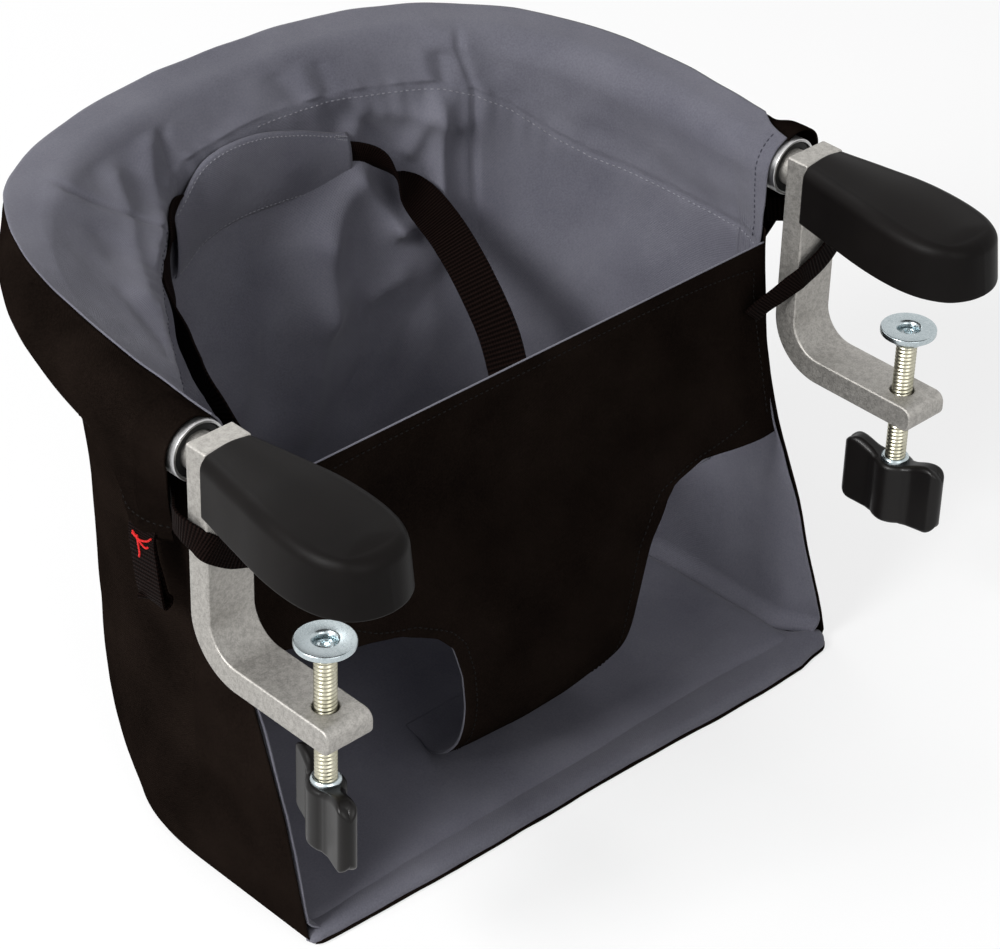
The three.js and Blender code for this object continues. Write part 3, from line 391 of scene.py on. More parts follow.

# %% [markdown]
# ## Metal, rubber and plastic finishes
# The clamps are castings that were tumbled, so they are speckled. The spindles have a yellowish
# zinc plate and the pads a bluish one. The covers are a dull rubber, and the wing knobs are a
# glossier plastic with a faint grain from the mould.

# %% Metal, rubber and plastic finishes
def metal_finish(name, dark, light, roughness, spread, fine, cloud, relief):
    """A metal: tone and roughness from the grain group, with a little relief."""
    material, tree, shader = finish(name, Metallic=1.0)
    grain = group_node(tree, GRAIN, Fine=fine, Cloud=cloud)
    mask = joined(tree, grain.outputs["Fine"], grain.outputs["Cloud"], 0.5)
    tree.links.new(two_tone(tree, mask, dark, light, 0.38, 0.6), shader.inputs["Base Color"])
    tree.links.new(maths(tree, "MULTIPLY_ADD", mask, spread, roughness), shader.inputs["Roughness"])
    bumped(tree, shader, grain.outputs["Fine"], relief, 0.0002)
    return material


def moulded_finish(name, colour, roughness, spread, fine, relief, **constants):
    """Rubber or plastic: one colour, a cloudy gloss and the grain of its mould."""
    material, tree, shader = finish(name, **constants)
    grain = group_node(tree, GRAIN, Fine=fine, Cloud=30.0)
    dusty = tuple(c * 1.5 for c in colour)
    tone = two_tone(tree, grain.outputs["Cloud"], colour, dusty)
    tree.links.new(tone, shader.inputs["Base Color"])
    rough = maths(tree, "MULTIPLY_ADD", grain.outputs["Cloud"], spread, roughness)
    tree.links.new(rough, shader.inputs["Roughness"])
    bumped(tree, shader, grain.outputs["Fine"], relief, 0.0002)
    return material


# Dark and light tone, roughness and its spread, scales of the grain and of the cloud, relief
METALS = {
    "cast_aluminium": ((0.3, 0.29, 0.272), (0.43, 0.415, 0.39), 0.5, 0.2, 1300.0, 420.0, 0.6),
    "yellow_zinc": ((0.36, 0.345, 0.255), (0.52, 0.5, 0.4), 0.24, 0.15, 1200.0, 90.0, 0.05),
    "blue_zinc": ((0.40, 0.46, 0.48), (0.52, 0.58, 0.6), 0.2, 0.15, 900.0, 50.0, 0.05),
    "tube_steel": ((0.42, 0.42, 0.42), (0.55, 0.55, 0.55), 0.25, 0.15, 900.0, 40.0, 0.03),
}
CAST, SPINDLE_ZINC, PAD_ZINC, TUBE_STEEL = [
    metal_finish(name, *row) for name, row in METALS.items()]
# Colour, roughness and its spread, scale of the grain, relief, and plain numbers of the shader
RUBBER = moulded_finish(
    "cover_rubber", (0.004, 0.0034, 0.0032), 0.38, 0.14, 1400.0, 0.25, Specular_IOR_Level=0.06)
KNOB_PLASTIC = moulded_finish(
    "knob_plastic", (0.0035, 0.003, 0.0028), 0.32, 0.12, 500.0, 0.12,
    Specular_IOR_Level=0.18, Coat_Weight=0.05, Coat_Roughness=0.25)
DARK_PLASTIC = moulded_finish(
    "dark_plastic", (0.006, 0.006, 0.006), 0.45, 0.1, 900.0, 0.2, Specular_IOR_Level=0.25)
print("finishes:", len(bpy.data.materials))

# %% [markdown]
# ## Working with sheets
# Cloth is modelled as a grid that is drawn onto a formula. A grid operator makes the vertices and
# faces, each vertex knows its two shares across and down the cloth, and one function per piece
# says where that share lies in space. The same shares, times the real size of the cloth, become
# the UV map that the weave follows. A Solidify modifier then gives the cloth its thickness.

# %% Helpers for sheets
def mix(a, b, share):
    """The value at a share of the way from a to b."""
    return a + (b - a) * share


def ease(low, high, value):
    """A smooth step from zero at low to one at high."""
    share = min(1, max(0, (value - low) / (high - low)))
    return share * share * (3 - 2 * share)


def hump(value, centre, width):
    """A smooth bump of height one round a centre."""
    return math.exp(-((value - centre) / width) ** 2)


def ripple(point, size, seed=0.0):
    """Smooth noise between -1 and 1 with features of about the given size in millimetres."""
    return noise.noise(Vector(point) / size + Vector((seed, seed * 2.3, -seed)))


def table(rows, key, column=1):
    """Reads a column of a table of rows at a key, on straight lines between the rows."""
    for low, high in zip(rows, rows[1:]):
        if key <= high[0]:
            share = (key - low[0]) / (high[0] - low[0])
            return mix(low[column], high[column], max(0, share))
    return rows[-1][column]


def smooth_path(points, share):
    """A point of a smooth curve through the given points; share runs from 0 to 1."""
    place = min(0.999999, max(0, share)) * (len(points) - 1)
    i, s = int(place), place % 1
    p0, p1, p2, p3 = (Vector(points[min(len(points) - 1, max(0, i + k))]) for k in (-1, 0, 1, 2))
    square = (2 * p0 - 5 * p1 + 4 * p2 - p3) * s ** 2
    cube = (3 * p1 - p0 - 3 * p2 + p3) * s ** 3
    return 0.5 * (2 * p1 + (p2 - p0) * s + square + cube)


def cloth_grid(name, columns, rows, place, size, finish_used, flip=False, flat=None):
    """A sheet whose share (a, b) lies at place(a, b). Its size, or flat(a, b), sets its UV map."""
    bm = bmesh.new()
    bmesh.ops.create_grid(bm, x_segments=columns, y_segments=rows, size=1)
    uv = bm.loops.layers.uv.new("UVMap")
    for vertex in bm.verts:
        share = ((vertex.co.x + 1) / 2, (vertex.co.y + 1) / 2)
        spot = flat(*share) if flat else (share[0] * size[0], share[1] * size[1])
        for loop in vertex.link_loops:
            loop[uv].uv = (spot[0] * MM, spot[1] * MM)
        vertex.co = at(*place(*share))
    if flip:
        bmesh.ops.reverse_faces(bm, faces=bm.faces)
    piece = new_object(name, mesh_of(bm, name))
    piece.data.materials.append(finish_used)
    return piece


def thicken(piece, thickness, inner_finish=None):
    """Gives a sheet its thickness in millimetres behind its face, and its back another finish."""
    shell = piece.modifiers.new("thickness", "SOLIDIFY")
    shell.thickness = thickness * MM
    shell.offset = -1
    if inner_finish:
        piece.data.materials.append(inner_finish)
        shell.material_offset = 1
        shell.material_offset_rim = 1


def dress(piece, body, slot, *nodes):
    """Says which body a piece moves with and which solids it stands for; the slot is not used."""
    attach(piece, body)
    if nodes:
        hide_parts(*nodes)


# %% [markdown]
# ## The plan of the seat
# Seen from above, the tube and each level of the cloth follow the same kind of U: two straight
# legs joined by a squarish bend, which is a superellipse. The walls are narrower and less deep
# than the tube, and lean forward at the front towards the base.

# %% The plan of the seat
CORNER_POWER = 2.67
LEG = 26.4
DEPTH = 206.5
RISE = 20
LEG_SHARE = 0.16
BEND_SHARE = 1 - 2 * LEG_SHARE
WALL_TOP = -38
BASE_BOTTOM, BASE_TOP = -247.5, -241
# Height, half width, back, front edge and how far the front edge turns in
WALL_LEVELS = (
    (-38, 172.4, 183, 5, 6.5), (-86.7, 170.4, 174, 0, 3.9), (-128.3, 170, 172.6, -11, 2.9),
    (-168, 170, 172.2, -28, 1.6), (-208.5, 169, 166, -39, 0.6), (-231, 167.5, 152, -43, 0),
    (-241, 165.5, 140, -44, 0),
)


def rounded(value):
    """A cosine or sine drawn outward, so that a circle becomes a superellipse."""
    return math.copysign(abs(value) ** (2 / CORNER_POWER), value)


def plan(t, half_width, front, back, tuck=0.0):
    """Where share t of the way round a U lies, from the left front end to the right one."""
    for share, side in ((t / LEG_SHARE, -1), ((1 - t) / LEG_SHARE, 1)):
        if share < 1:
            return side * (half_width - tuck * (1 - share) ** 2), mix(front, LEG, share)
    angle = math.pi * (1 - (t - LEG_SHARE) / BEND_SHARE)
    return half_width * rounded(math.cos(angle)), LEG + (back - LEG) * abs(rounded(math.sin(angle)))


def share_at(x, half_width):
    """The share of the way round at which a U of that half width lies at x."""
    cosine = math.copysign(abs(x / half_width) ** (CORNER_POWER / 2), x)
    return LEG_SHARE + BEND_SHARE * (1 - math.acos(cosine) / math.pi)


def tube_axis(t):
    """The middle of the tube at share t; it rises towards the back."""
    x, y = plan(t, HALF, TUBE_END, DEPTH)
    return Vector((x, y, RISE * max(0.0, (y - LEG) / (DEPTH - LEG)) ** 1.3))


def outward(t):
    """The level direction that points out of the seat at share t."""
    along = tube_axis(min(1, t + 0.003)) - tube_axis(max(0, t - 0.003))
    return Vector((-along.y, along.x, 0)).normalized()


def level_row(z):
    """The wall's half width, back, front and tuck at a height, read smoothly from the levels."""
    total = [0.0] * 4
    for offset, weight in ((-9, 0.25), (0, 0.5), (9, 0.25)):
        height = min(WALL_LEVELS[0][0], max(WALL_LEVELS[-1][0], z + offset))
        for upper, lower in zip(WALL_LEVELS, WALL_LEVELS[1:]):
            if height >= lower[0]:
                share = (upper[0] - height) / (upper[0] - lower[0])
                between = [mix(a, b, share) for a, b in zip(upper[1:], lower[1:])]
                total = [s + weight * value for s, value in zip(total, between)]
                break
    return total


# Folds that the cloth draws into: where round the U, how deep, and how each leans
FOLDS = (
    (0.345, 2.4, 0.03), (0.39, 1.5, -0.02), (0.455, 1.9, 0.05), (0.6, 1.7, -0.04),
    (0.66, 1.2, 0.02),
)


# The right side's lower front corner is pushed outward: how far, the height at which that starts,
# over what drop it grows, and between which places along y
RIGHT_FLARE, FLARE_TOP, FLARE_DROP = 11, -165, 78
FLARE_START, FLARE_FULL = -22, -44


def slack(t, z):
    """How far both layers of the wall stand in from their plan, with folds and broad waves."""
    down = min(1, max(0, (WALL_TOP - z) / (WALL_TOP - BASE_TOP)))
    folds = sum(depth * hump(t - lean * down, where, 0.02) for where, depth, lean in FOLDS)
    x, y = plan(t, 170, -20, 174)
    waves = 1.1 * ripple((x, y, z), 70, 11) + 0.6 * ripple((x, y, z), 28, 13)
    return folds * math.sin(math.pi * down) ** 2 + waves * math.sin(math.pi * down) ** 0.7


def wall(t, z, inset=0.0):
    """The outer face of the walls at share t and height z, set in by a distance."""
    half_width, back, front, tuck = level_row(z)
    inward = inset + slack(t, z)
    x, y = plan(t, half_width - inward, front, back - inward, tuck)
    if x > 0:
        down = min(1, max(0, (FLARE_TOP - z) / FLARE_DROP))
        x += RIGHT_FLARE * down ** 2 * ease(FLARE_START, FLARE_FULL, y)
    return Vector((x, y, z))


SEAM_SHARE = share_at(-119, WALL_LEVELS[0][1])
print("side seams at share", round(SEAM_SHARE, 3), "and", round(1 - SEAM_SHARE, 3))

# %% [markdown]
# ## The roll round the tube
# Two cloths meet along a ridge on the tube's crest, and stand a little proud of it there, because
# a seam never pulls quite tight round a tube. In section each cloth is a straight line from the
# ridge to the point where it touches the roll. On the left leg the ridge has turned to the inner
# side, and at the back it lies on the outer side, so the ridge has its own table of angles.

# %% The roll round the tube
ROLL = 15.5
# Share round the U, angle of the ridge from straight outward, and how far it stands off the roll
RIDGE = (
    (0, 125, 0.4), (0.12, 125, 0.8), (0.16, 118, 2), (0.2, 108, 2.5), (0.24, 88, 3),
    (0.28, 70, 4.5), (0.32, 56, 6), (0.36, 40, 7.5), (0.42, 50, 5.5), (0.5, 60, 6), (0.58, 60, 5),
    (0.64, 60, 4.5), (0.72, 60, 4.5), (0.78, 61, 4), (0.84, 72, 3), (0.88, 86, 2), (0.93, 97, 1.2),
    (1, 102, 0.4),
)


def ridge(t, column):
    """A column of the ridge's table at share t, smoothed a little."""
    return sum(table(RIDGE, t + step, column) for step in (-0.02, 0, 0.02)) / 3


def roll_point(t, angle, lift=0.0):
    """A point of the rolled cloth at an angle from straight outward, in degrees."""
    spot = tube_axis(t)
    top, stand = ridge(t, 1), ridge(t, 2) + 0.4 * ripple(spot, 20, 6)
    reach = math.degrees(math.acos(ROLL / (ROLL + max(0.05, stand))))
    away = max(0.0, reach - abs(angle - top))
    radius = ROLL / math.cos(math.radians(away)) + lift
    round_share = min(1, max(0, (angle + 60) / (top + 60)))
    loose = 5 * ease(0.84, 0.92, t) * math.sin(math.pi * round_share) ** 2
    radius += loose + 0.35 * ripple((spot.x, spot.y, angle * 0.27), 17, 2) + 0.3
    turn = math.radians(angle)
    return spot + (outward(t) * math.cos(turn) + Vector((0, 0, math.sin(turn)))) * radius


def slant(y, start):
    """How far the slanted hem has moved a point that lay at y on the tube's leg."""
    return (start - TUBE_END) * max(0.0, 1 - (y - TUBE_END) / 60)


# %% [markdown]
# ## The lining
# One layer of grey cloth comes over the tube from the ridge, leaves the roll on a straight slope to
# a sewn line, and then goes down the wall to the base. In the back left corner the slope is wide:
# there the cloth is drawn straight across from the tube to the end of the pocket. Small puckers
# where a seam gathers the cloth, folds drawn as strokes, and broad waves make it read as cloth.

# %% The lining
LINING_INSET = 2.1
RIDGE_TURN = 1.5
# How far the foot turns in under the edge of the pad
FOOT_TURN_IN = 7
# The sewn line on the left and in the back, as places
SEAM_LEFT = (
    (-166, 7, -38), (-166, 12, -37), (-165.5, 20, -32), (-162, 29, -24), (-155, 43, -14),
    (-141, 66, -7), (-126, 91, -5), (-111, 113, -4), (-96, 134, -3), (-79, 154, 0), (-62, 169, 3),
    (-48, 179, 10), (-17, 181.5, 12.5), (15, 181.5, 12),
)
SEAM_LEFT_END = 0.52
SEAM_HEIGHTS = (
    (0.4, 4), (0.44, 10), (0.5, 17), (0.537, 15), (0.57, 11.5), (0.616, 8), (0.644, 2), (0.671, -6),
    (0.706, -20), (0.737, -28), (0.8, -34), (0.84, -36), (1, -38),
)
# Folds on the back wall as strokes: two ends as x and z, width, height
STROKES = (
    ((58, -31), (76, -62), 6, 4.6), ((76, -62), (92, -59), 5, 3.6), ((51, -36), (32, -56), 12, 4.6),
    ((32, -56), (25, -90), 15, 6.5), ((25, -90), (12, -150), 17, 6.5),
    ((61, -93), (74, -88), 7, 3.2), ((99, -91), (51, -150), 15, -4.5),
    ((103, 0), (99, -50), 5, 5.4), ((99, -50), (90, -120), 14, 3.6),
    ((-20, -60), (-38, -150), 17, 3.4), ((-60, -70), (-72, -150), 14, -3),
    ((66, 8), (59, -5), 5, 2.6), ((98, -3), (86, -26), 6, 3), ((40, 17), (49, -3), 4, -2.6),
    ((51, 10), (89, -35), 5, -3), ((74, 0), (112, -14), 5, 2.4), ((4, -50), (-8, -130), 9, -3.4),
)


# Folds on the slope, seen from above: two ends as x and y, width, height
SLOPE_STROKES = (
    ((-55, 195), (-95, 135), 6, 3.4), ((-88, 177), (-123, 111), 6, 3.4),
    ((-129, 116), (-136, 72), 5, -3), ((-51, 181), (-45, 206), 4, -2.6),
    ((-72, 156), (-108, 112), 5, -2.6), ((103, 160), (111, 178), 4.5, -2.4),
    ((96, 164), (102, 182), 5, 1.6), ((46, 179), (48, 193), 5, -1.8),
    ((27, 181), (22, 194), 5, -1.8), ((36, 181), (36, 193), 5, 1.4),
)


FOLD_DEPTH = 1.35


def stroke(x, z, start, end, width, height):
    """One fold: a crest on the line between its ends that falls away beside it."""
    a, b = Vector(start), Vector(end)
    along = b - a
    share = min(1, max(0, (Vector((x, z)) - a).dot(along) / along.length_squared))
    away = (Vector((x, z)) - a.lerp(b, share)).length
    return height * math.exp(-(away / width) ** 1.5)


def lining_seam(t):
    """Where the lining is sewn, on the inner side of the wall."""
    across = ease(0.43, 0.52, t)
    left = smooth_path(SEAM_LEFT, t / SEAM_LEFT_END)
    if across == 0:
        return left
    point = wall(t, table(SEAM_HEIGHTS, t), LINING_INSET)
    point.y += max(0.0, 2.5 * (t - 1 + LEG_SHARE) / LEG_SHARE)
    return left.lerp(point, across)


def leaving_angle(t, seam):
    """The angle at which a cloth drawn tight from the roll to the seam leaves the roll."""
    away = seam - tube_axis(t)
    inward, up = -away.dot(outward(t)), away.z
    polar = math.degrees(math.atan2(up, -inward)) % 360
    return polar - math.degrees(math.acos(min(1, ROLL / math.hypot(inward, up))))


# Shares of the lining's length at which its roll and its slope end
ROLL_SHARE, SLOPE_SHARE = 0.22, 0.42


def puckers(t, b):
    """How far the lining puffs out beside its seams, and not on them."""
    row = 1 - hump(b, SLOPE_SHARE, 0.006)
    gather = hump(b, SLOPE_SHARE, 0.035) * (0.8 + 0.7 * math.sin(t * 320) * math.sin(t * 127))
    darts = 0.0
    for where in (SEAM_SHARE, 1 - SEAM_SHARE):
        beside = hump(t, where, 0.022) * (1 - hump(t, where, 0.0035))
        darts += 2.6 * beside * ease(0.1, 0.2, b) * ease(0.66, 0.44, b)
    return row * gather + darts


def lining_point(t, b):
    """The lining at share t round the rim and b down: the roll, the slope, then the wall."""
    out = outward(t)
    seam = lining_seam(t)
    top = ridge(t, 1) + RIDGE_TURN * ripple(tube_axis(t), 30, 8)
    leave = max(top + 5, leaving_angle(t, seam))
    centre = tube_axis(t)
    move = Vector((0, 0, 0))
    if b < ROLL_SHARE:
        point = roll_point(t, mix(top, leave, b / ROLL_SHARE))
        start = 6.5
    elif b < SLOPE_SHARE:
        share = (b - ROLL_SHARE) / (SLOPE_SHARE - ROLL_SHARE)
        edge = roll_point(t, leave)
        span = (seam - edge).length
        point = edge.lerp(seam, share)
        sag = math.sin(math.pi * share)
        normal = (-out + Vector((0, 0, 0.4))).normalized()
        waves = 0.05 * span * ripple(point, 30, 3) + 0.9 * ripple(point, 13, 4)
        point += normal * sag * (1.6 - 0.05 * span + waves)
        folded = sum(stroke(point.x, point.y, *row) for row in SLOPE_STROKES)
        point += normal * folded * ease(0, 0.3, share) * ease(1, 0.93, share)
        start = mix(6.5, 7.5, share)
    else:
        share = (b - SLOPE_SHARE) / (1 - SLOPE_SHARE)
        z = mix(seam.z, BASE_TOP - 1.2, share)
        point = wall(t, z, LINING_INSET)
        top_gap = seam - wall(t, seam.z, LINING_INSET)
        top_gap.z = 0
        point += top_gap * (1 - ease(0, 120, seam.z - z))
        puff = math.sin(math.pi * share) ** 0.6
        back = ease(0.3, 0.38, t) * ease(0.76, 0.68, t)
        normal = -out
        waves = 1.1 * ripple(point, 42, 5) + 0.45 * ripple(point, 15, 7)
        point += normal * puff * (1.2 + 2.2 * back + waves)
        start = 7.5
        if back:
            folded = sum(stroke(point.x, point.z, *row) for row in STROKES)
            move += normal * back * max(-3.4, FOLD_DEPTH * folded) * ease(0, 0.06, share)
        move -= out * FOOT_TURN_IN * ease(0.965, 1, share)
    move += (-out + Vector((0, 0, 0.3))) * puckers(t, b)
    if b < SLOPE_SHARE and (t < LEG_SHARE or t > 1 - LEG_SHARE):
        fading = 1 - max(0, b - ROLL_SHARE) / (SLOPE_SHARE - ROLL_SHARE)
        point.y += slant(centre.y, start) * fading
    return point + move


lining = cloth_grid("seat_lining", 340, 144, lining_point, (700, 300), LINING, flip=True)
thicken(lining, 0.9)
dress(lining, "root", "lining_fabric", "back_rim_sleeve", "left_rim_sleeve", "right_rim_sleeve")
print("lining faces:", len(lining.data.polygons))

# %% [markdown]
# ## The outer cloth
# The black cloth starts at the same ridge, falls over the outside of the tube and ends in a hem.
# At the front of each side the hem hangs free as a flap. Behind it the cloth is caught by the
# wall, which is a second sheet of the same black cloth down to the base.

# %% The outer cloth
FLAP_DROP, FLAP_STAND = 56, 12
FLAP_START = 23
SLEEVE_ROLL_SHARE = 0.5
# The angle at which the cloth leaves the roll, in degrees from straight outward
SLEEVE_LEAVES = -20


def sleeve_point(t, b):
    """The outer cloth from the ridge over the roll and down to its hem."""
    out = outward(t)
    centre = tube_axis(t)
    level = ease(75, 44, centre.y + slant(centre.y, FLAP_START))
    foot = wall(t, WALL_TOP)
    if t < LEG_SHARE or t > 1 - LEG_SHARE:
        foot.y = centre.y
    foot += out * mix(2.4, FLAP_STAND + 0.6, level)
    foot.z = -mix(-WALL_TOP, FLAP_DROP, level)
    top = ridge(t, 1) + RIDGE_TURN * ripple(centre, 30, 8)
    if b < SLEEVE_ROLL_SHARE:
        share = b / SLEEVE_ROLL_SHARE
        lift = mix(-0.9, 0.25, ease(0, 0.2, share))
        point = roll_point(t, mix(top - 0.5, SLEEVE_LEAVES, share), lift)
        start = mix(6, 7.5, share)
    else:
        share = (b - SLEEVE_ROLL_SHARE) / (1 - SLEEVE_ROLL_SHARE)
        point = roll_point(t, SLEEVE_LEAVES, 0.25).lerp(foot, share)
        point += out * (1.2 * math.sin(math.pi * share) + 0.9 * ripple(point, 32, 2) * share)
        point += out * 1.3 * ease(0.80, 0.83, share) * level
        start = mix(7.5, FLAP_START, share)
    point.y += slant(centre.y, start)
    return point


sleeve = cloth_grid("rim_cloth", 300, 50, sleeve_point, (700, 90), OUTER)
thicken(sleeve, 1.0)
dress(sleeve, "root", "outer_fabric")


def outer_wall_point(t, b):
    """The black wall from under the hem to the base, where it rolls in a little."""
    z = mix(WALL_TOP + 9, BASE_BOTTOM + 0.6, b)
    point = wall(t, z)
    point.z = z
    seam = sum(hump(t, where, 0.003) for where in (SEAM_SHARE, 1 - SEAM_SHARE))
    roll_under = 3.0 * ease(BASE_TOP, BASE_BOTTOM, z) ** 2
    return point - outward(t) * (0.5 * seam + roll_under)


outer_wall = cloth_grid("outer_wall", 300, 100, outer_wall_point, (700, 210), OUTER)
thicken(outer_wall, 0.8)
dress(outer_wall, "root", "outer_fabric", "back_panel", "left_side_panel", "right_side_panel")
print("outer cloth faces:", len(sleeve.data.polygons) + len(outer_wall.data.polygons))

# %% [markdown]
# ## The front panel
# The piece in front is cut in one: two wings that close the seat between the clamps, and a crotch
# piece that narrows, bulges forward and turns back onto the base. Its centre line is a smooth
# curve in the middle plane. Each row of the sheet crosses it with its own half widths, left and
# right, because the two leg cut-outs of the real piece hang differently. Its face is black and
# its back is the grey lining.

# %% The front panel
PANEL_CENTRE = (
    (3.1, -34), (2.6, -47), (1.5, -60), (-1.5, -74), (-5, -87.5), (-11, -106), (-17, -124.5),
    (-21.5, -138), (-24.5, -151), (-27.5, -170), (-28.2, -187.5), (-24.5, -204.5), (-14, -220),
    (0, -231.5), (12, -237.6), (24, -239.8), (36, -240.2),
)
PANEL_LENGTH = 262
WING_FRONT_ROW, WING_ROW = 0.24, 0.37
WING_HALF = 167
# The share down to which the sheet is placed by its height
UPPER_SHARE = 0.46
# Distance from the middle and height of the wings' lower edges
WING_LEFT = ((0, -118), (79, -122), (90, -125), (100, -126), (112, -124), (137, -113), (168, -109))
WING_RIGHT = (
    (0, -118), (83, -121.5), (104, -122.6), (120, -125.4), (135, -128.4), (152, -131.6),
    (168, -134),
)
# Share down the panel, half width on the left and on the right below the wings
CROTCH = (
    (0.37, 104, 108), (0.385, 88, 88), (0.41, 78, 81), (0.44, 68, 77), (0.49, 59, 71),
    (0.55, 54, 65), (0.61, 52.5, 60), (0.68, 52, 56), (0.76, 49, 51), (0.84, 43, 44),
    (0.92, 37, 38), (1, 34, 34),
)


PANEL_LINE = [(0, y, z) for y, z in PANEL_CENTRE]
PANEL_HEIGHTS = [(-p.z, p.y, i / 120 * PANEL_LENGTH) for i, p in
                 ((i, smooth_path(PANEL_LINE, i / 120)) for i in range(100))]
WING_FOOT = smooth_path(PANEL_LINE, WING_ROW).z


def panel_point(a, b):
    """The front panel at share a from left to right and b from its top edge to the base."""
    side = 2 * a - 1
    column, wing = (1, WING_LEFT) if side < 0 else (2, WING_RIGHT)
    centre = smooth_path(PANEL_LINE, b)
    if b <= WING_FRONT_ROW:
        share = b / WING_FRONT_ROW
        edge = mix(163.5, WING_HALF, ease(0, 0.8, share))
        edge_z = mix(PANEL_CENTRE[0][1], table(wing, WING_HALF), share)
    elif b <= WING_ROW:
        share = (b - WING_FRONT_ROW) / (WING_ROW - WING_FRONT_ROW)
        edge = mix(WING_HALF, CROTCH[0][column], share)
        edge_z = table(wing, edge)
    else:
        edge = table(CROTCH, b, column)
        rise = table(wing, CROTCH[0][column]) - WING_FOOT
        edge_z = centre.z + rise * ease(UPPER_SHARE, WING_ROW, b)
    x = side * edge
    point = Vector((x, centre.y, mix(centre.z, edge_z, abs(side) ** 4)))
    if b < UPPER_SHARE:
        point.y = table(PANEL_HEIGHTS, -point.z)
        point.y += 9 * ease(-34, -140, point.z) * (abs(x) / WING_HALF) ** 6
    cup = ease(0.4, 0.62, b) * ease(1, 0.8, b)
    point.y += cup * 5 * (abs(x) / 55) ** 2
    flatness = ease(0, 0.12, b) * ease(1, 0.85, b)
    spot = (x, b * PANEL_LENGTH, 0)
    waves = 1.5 * ripple(spot, 60, 21) + 0.7 * ripple(spot, 24, 23)
    point.y -= waves * flatness * ease(1, 0.9, abs(side))
    return point


def panel_flat(a, b):
    """Where a place of the panel lay on the flat cloth."""
    point = panel_point(a, b)
    return point.x, -(table(PANEL_HEIGHTS, -point.z, 2) if b < UPPER_SHARE else b * PANEL_LENGTH)


panel = cloth_grid(
    "front_panel_cloth", 170, 170, panel_point, None, OUTER, flip=True, flat=panel_flat)
thicken(panel, 1.3, inner_finish=LINING)
dress(panel, "root", "outer_fabric", "front_panel")
print("front panel faces:", len(panel.data.polygons))

# %% [markdown]
# ## The padded base
# The base is a stiff board in a thin pad. A flat outline is extruded, remeshed into small even
# cells and blown up a little by a cloth simulation, which rounds its edges and makes its top
# uneven as sewn padding is.

# %% The padded base
PAD_INSET = 3.2
PAD_CELL = 0.0035
PAD_GROWTH = 0.0022
PAD_HALF, PAD_BACK, PAD_FRONT = 165.5, 140, -44.5
PAD_FOOT, PAD_RISE = BASE_BOTTOM + 2, 3.6
PAD_PRESSURE, PAD_STEPS = 4, 20


def pad_outline(inset, count=90):
    """The pad's edge from above, set in by a distance."""
    sizes = (PAD_HALF - inset, PAD_FRONT + inset, PAD_BACK - inset)
    return [plan(i / count, *sizes) for i in range(count + 1)]


bm = bmesh.new()
pad_corners = [bm.verts.new(at(x, y, PAD_FOOT)) for x, y in pad_outline(PAD_INSET)]
pad_floor = bm.faces.new(pad_corners)
raised = bmesh.ops.extrude_face_region(bm, geom=[pad_floor])
pad_top = [v for v in raised["geom"] if isinstance(v, bmesh.types.BMVert)]
bmesh.ops.translate(bm, verts=pad_top, vec=(0, 0, PAD_RISE * MM))
bmesh.ops.recalc_face_normals(bm, faces=bm.faces)
base_pad = new_object("base_pad", mesh_of(bm, "base_pad"))


def applied(piece):
    """Gives a piece the mesh that its modifiers make, and removes them."""
    graph = bpy.context.evaluated_depsgraph_get()
    mesh = bpy.data.meshes.new_from_object(piece.evaluated_get(graph))
    piece.modifiers.clear()
    piece.data = mesh
    for face in mesh.polygons:
        face.use_smooth = True


cells = base_pad.modifiers.new("cells", "REMESH")
cells.mode = "VOXEL"
cells.voxel_size = PAD_CELL
applied(base_pad)
pad_rest = [vertex.co.copy() for vertex in base_pad.data.vertices]
cushion = base_pad.modifiers.new("cushion", "CLOTH")
cushion.settings.use_pressure = True
cushion.settings.uniform_pressure_force = PAD_PRESSURE
cushion.settings.effector_weights.gravity = 0
cushion.point_cache.frame_end = PAD_STEPS
for step in range(1, PAD_STEPS + 1):
    bpy.context.scene.frame_set(step)
applied(base_pad)
bpy.context.scene.frame_set(1)
pad_floor_z = at(0, 0, BASE_BOTTOM + 0.4).z
pad_low, pad_high = at(0, 0, BASE_BOTTOM).z, at(0, 0, BASE_TOP).z
for vertex, rest in zip(base_pad.data.vertices, pad_rest):
    move = vertex.co - rest
    if move.length > PAD_GROWTH:
        move *= PAD_GROWTH / move.length
    upper = ease(pad_low + 0.003, pad_high - 0.001, rest.z)
    spot = (rest - DATUM) / MM
    spot.z = 0
    wave = 0.9 * ripple(spot, 55, 31) + 0.5 * ripple(spot, 20, 33)
    vertex.co = rest + move + Vector((0, 0, upper * (wave + 0.4) * MM))
    vertex.co.z = max(pad_floor_z, vertex.co.z)
base_pad.data.materials.append(LINING)
smoother = base_pad.modifiers.new("smooth", "SUBSURF")
smoother.levels = smoother.render_levels = 1
dress(base_pad, "root", "lining_fabric", "seat_base")
print("base pad faces:", len(base_pad.data.polygons))

# %% [markdown]
# ## Straps
# A strap is a narrow sheet along a smooth curve. At each point of the curve a side direction says
# how the webbing lies, so that it can twist between its ends. The webbing finish reads the UV map,
# so its ribs always run across the strap.

# %% Straps
SIDES = (("left", -1), ("right", 1))
STRAP_GRID = (8, 90)
STRAP_EDGE = 0.3


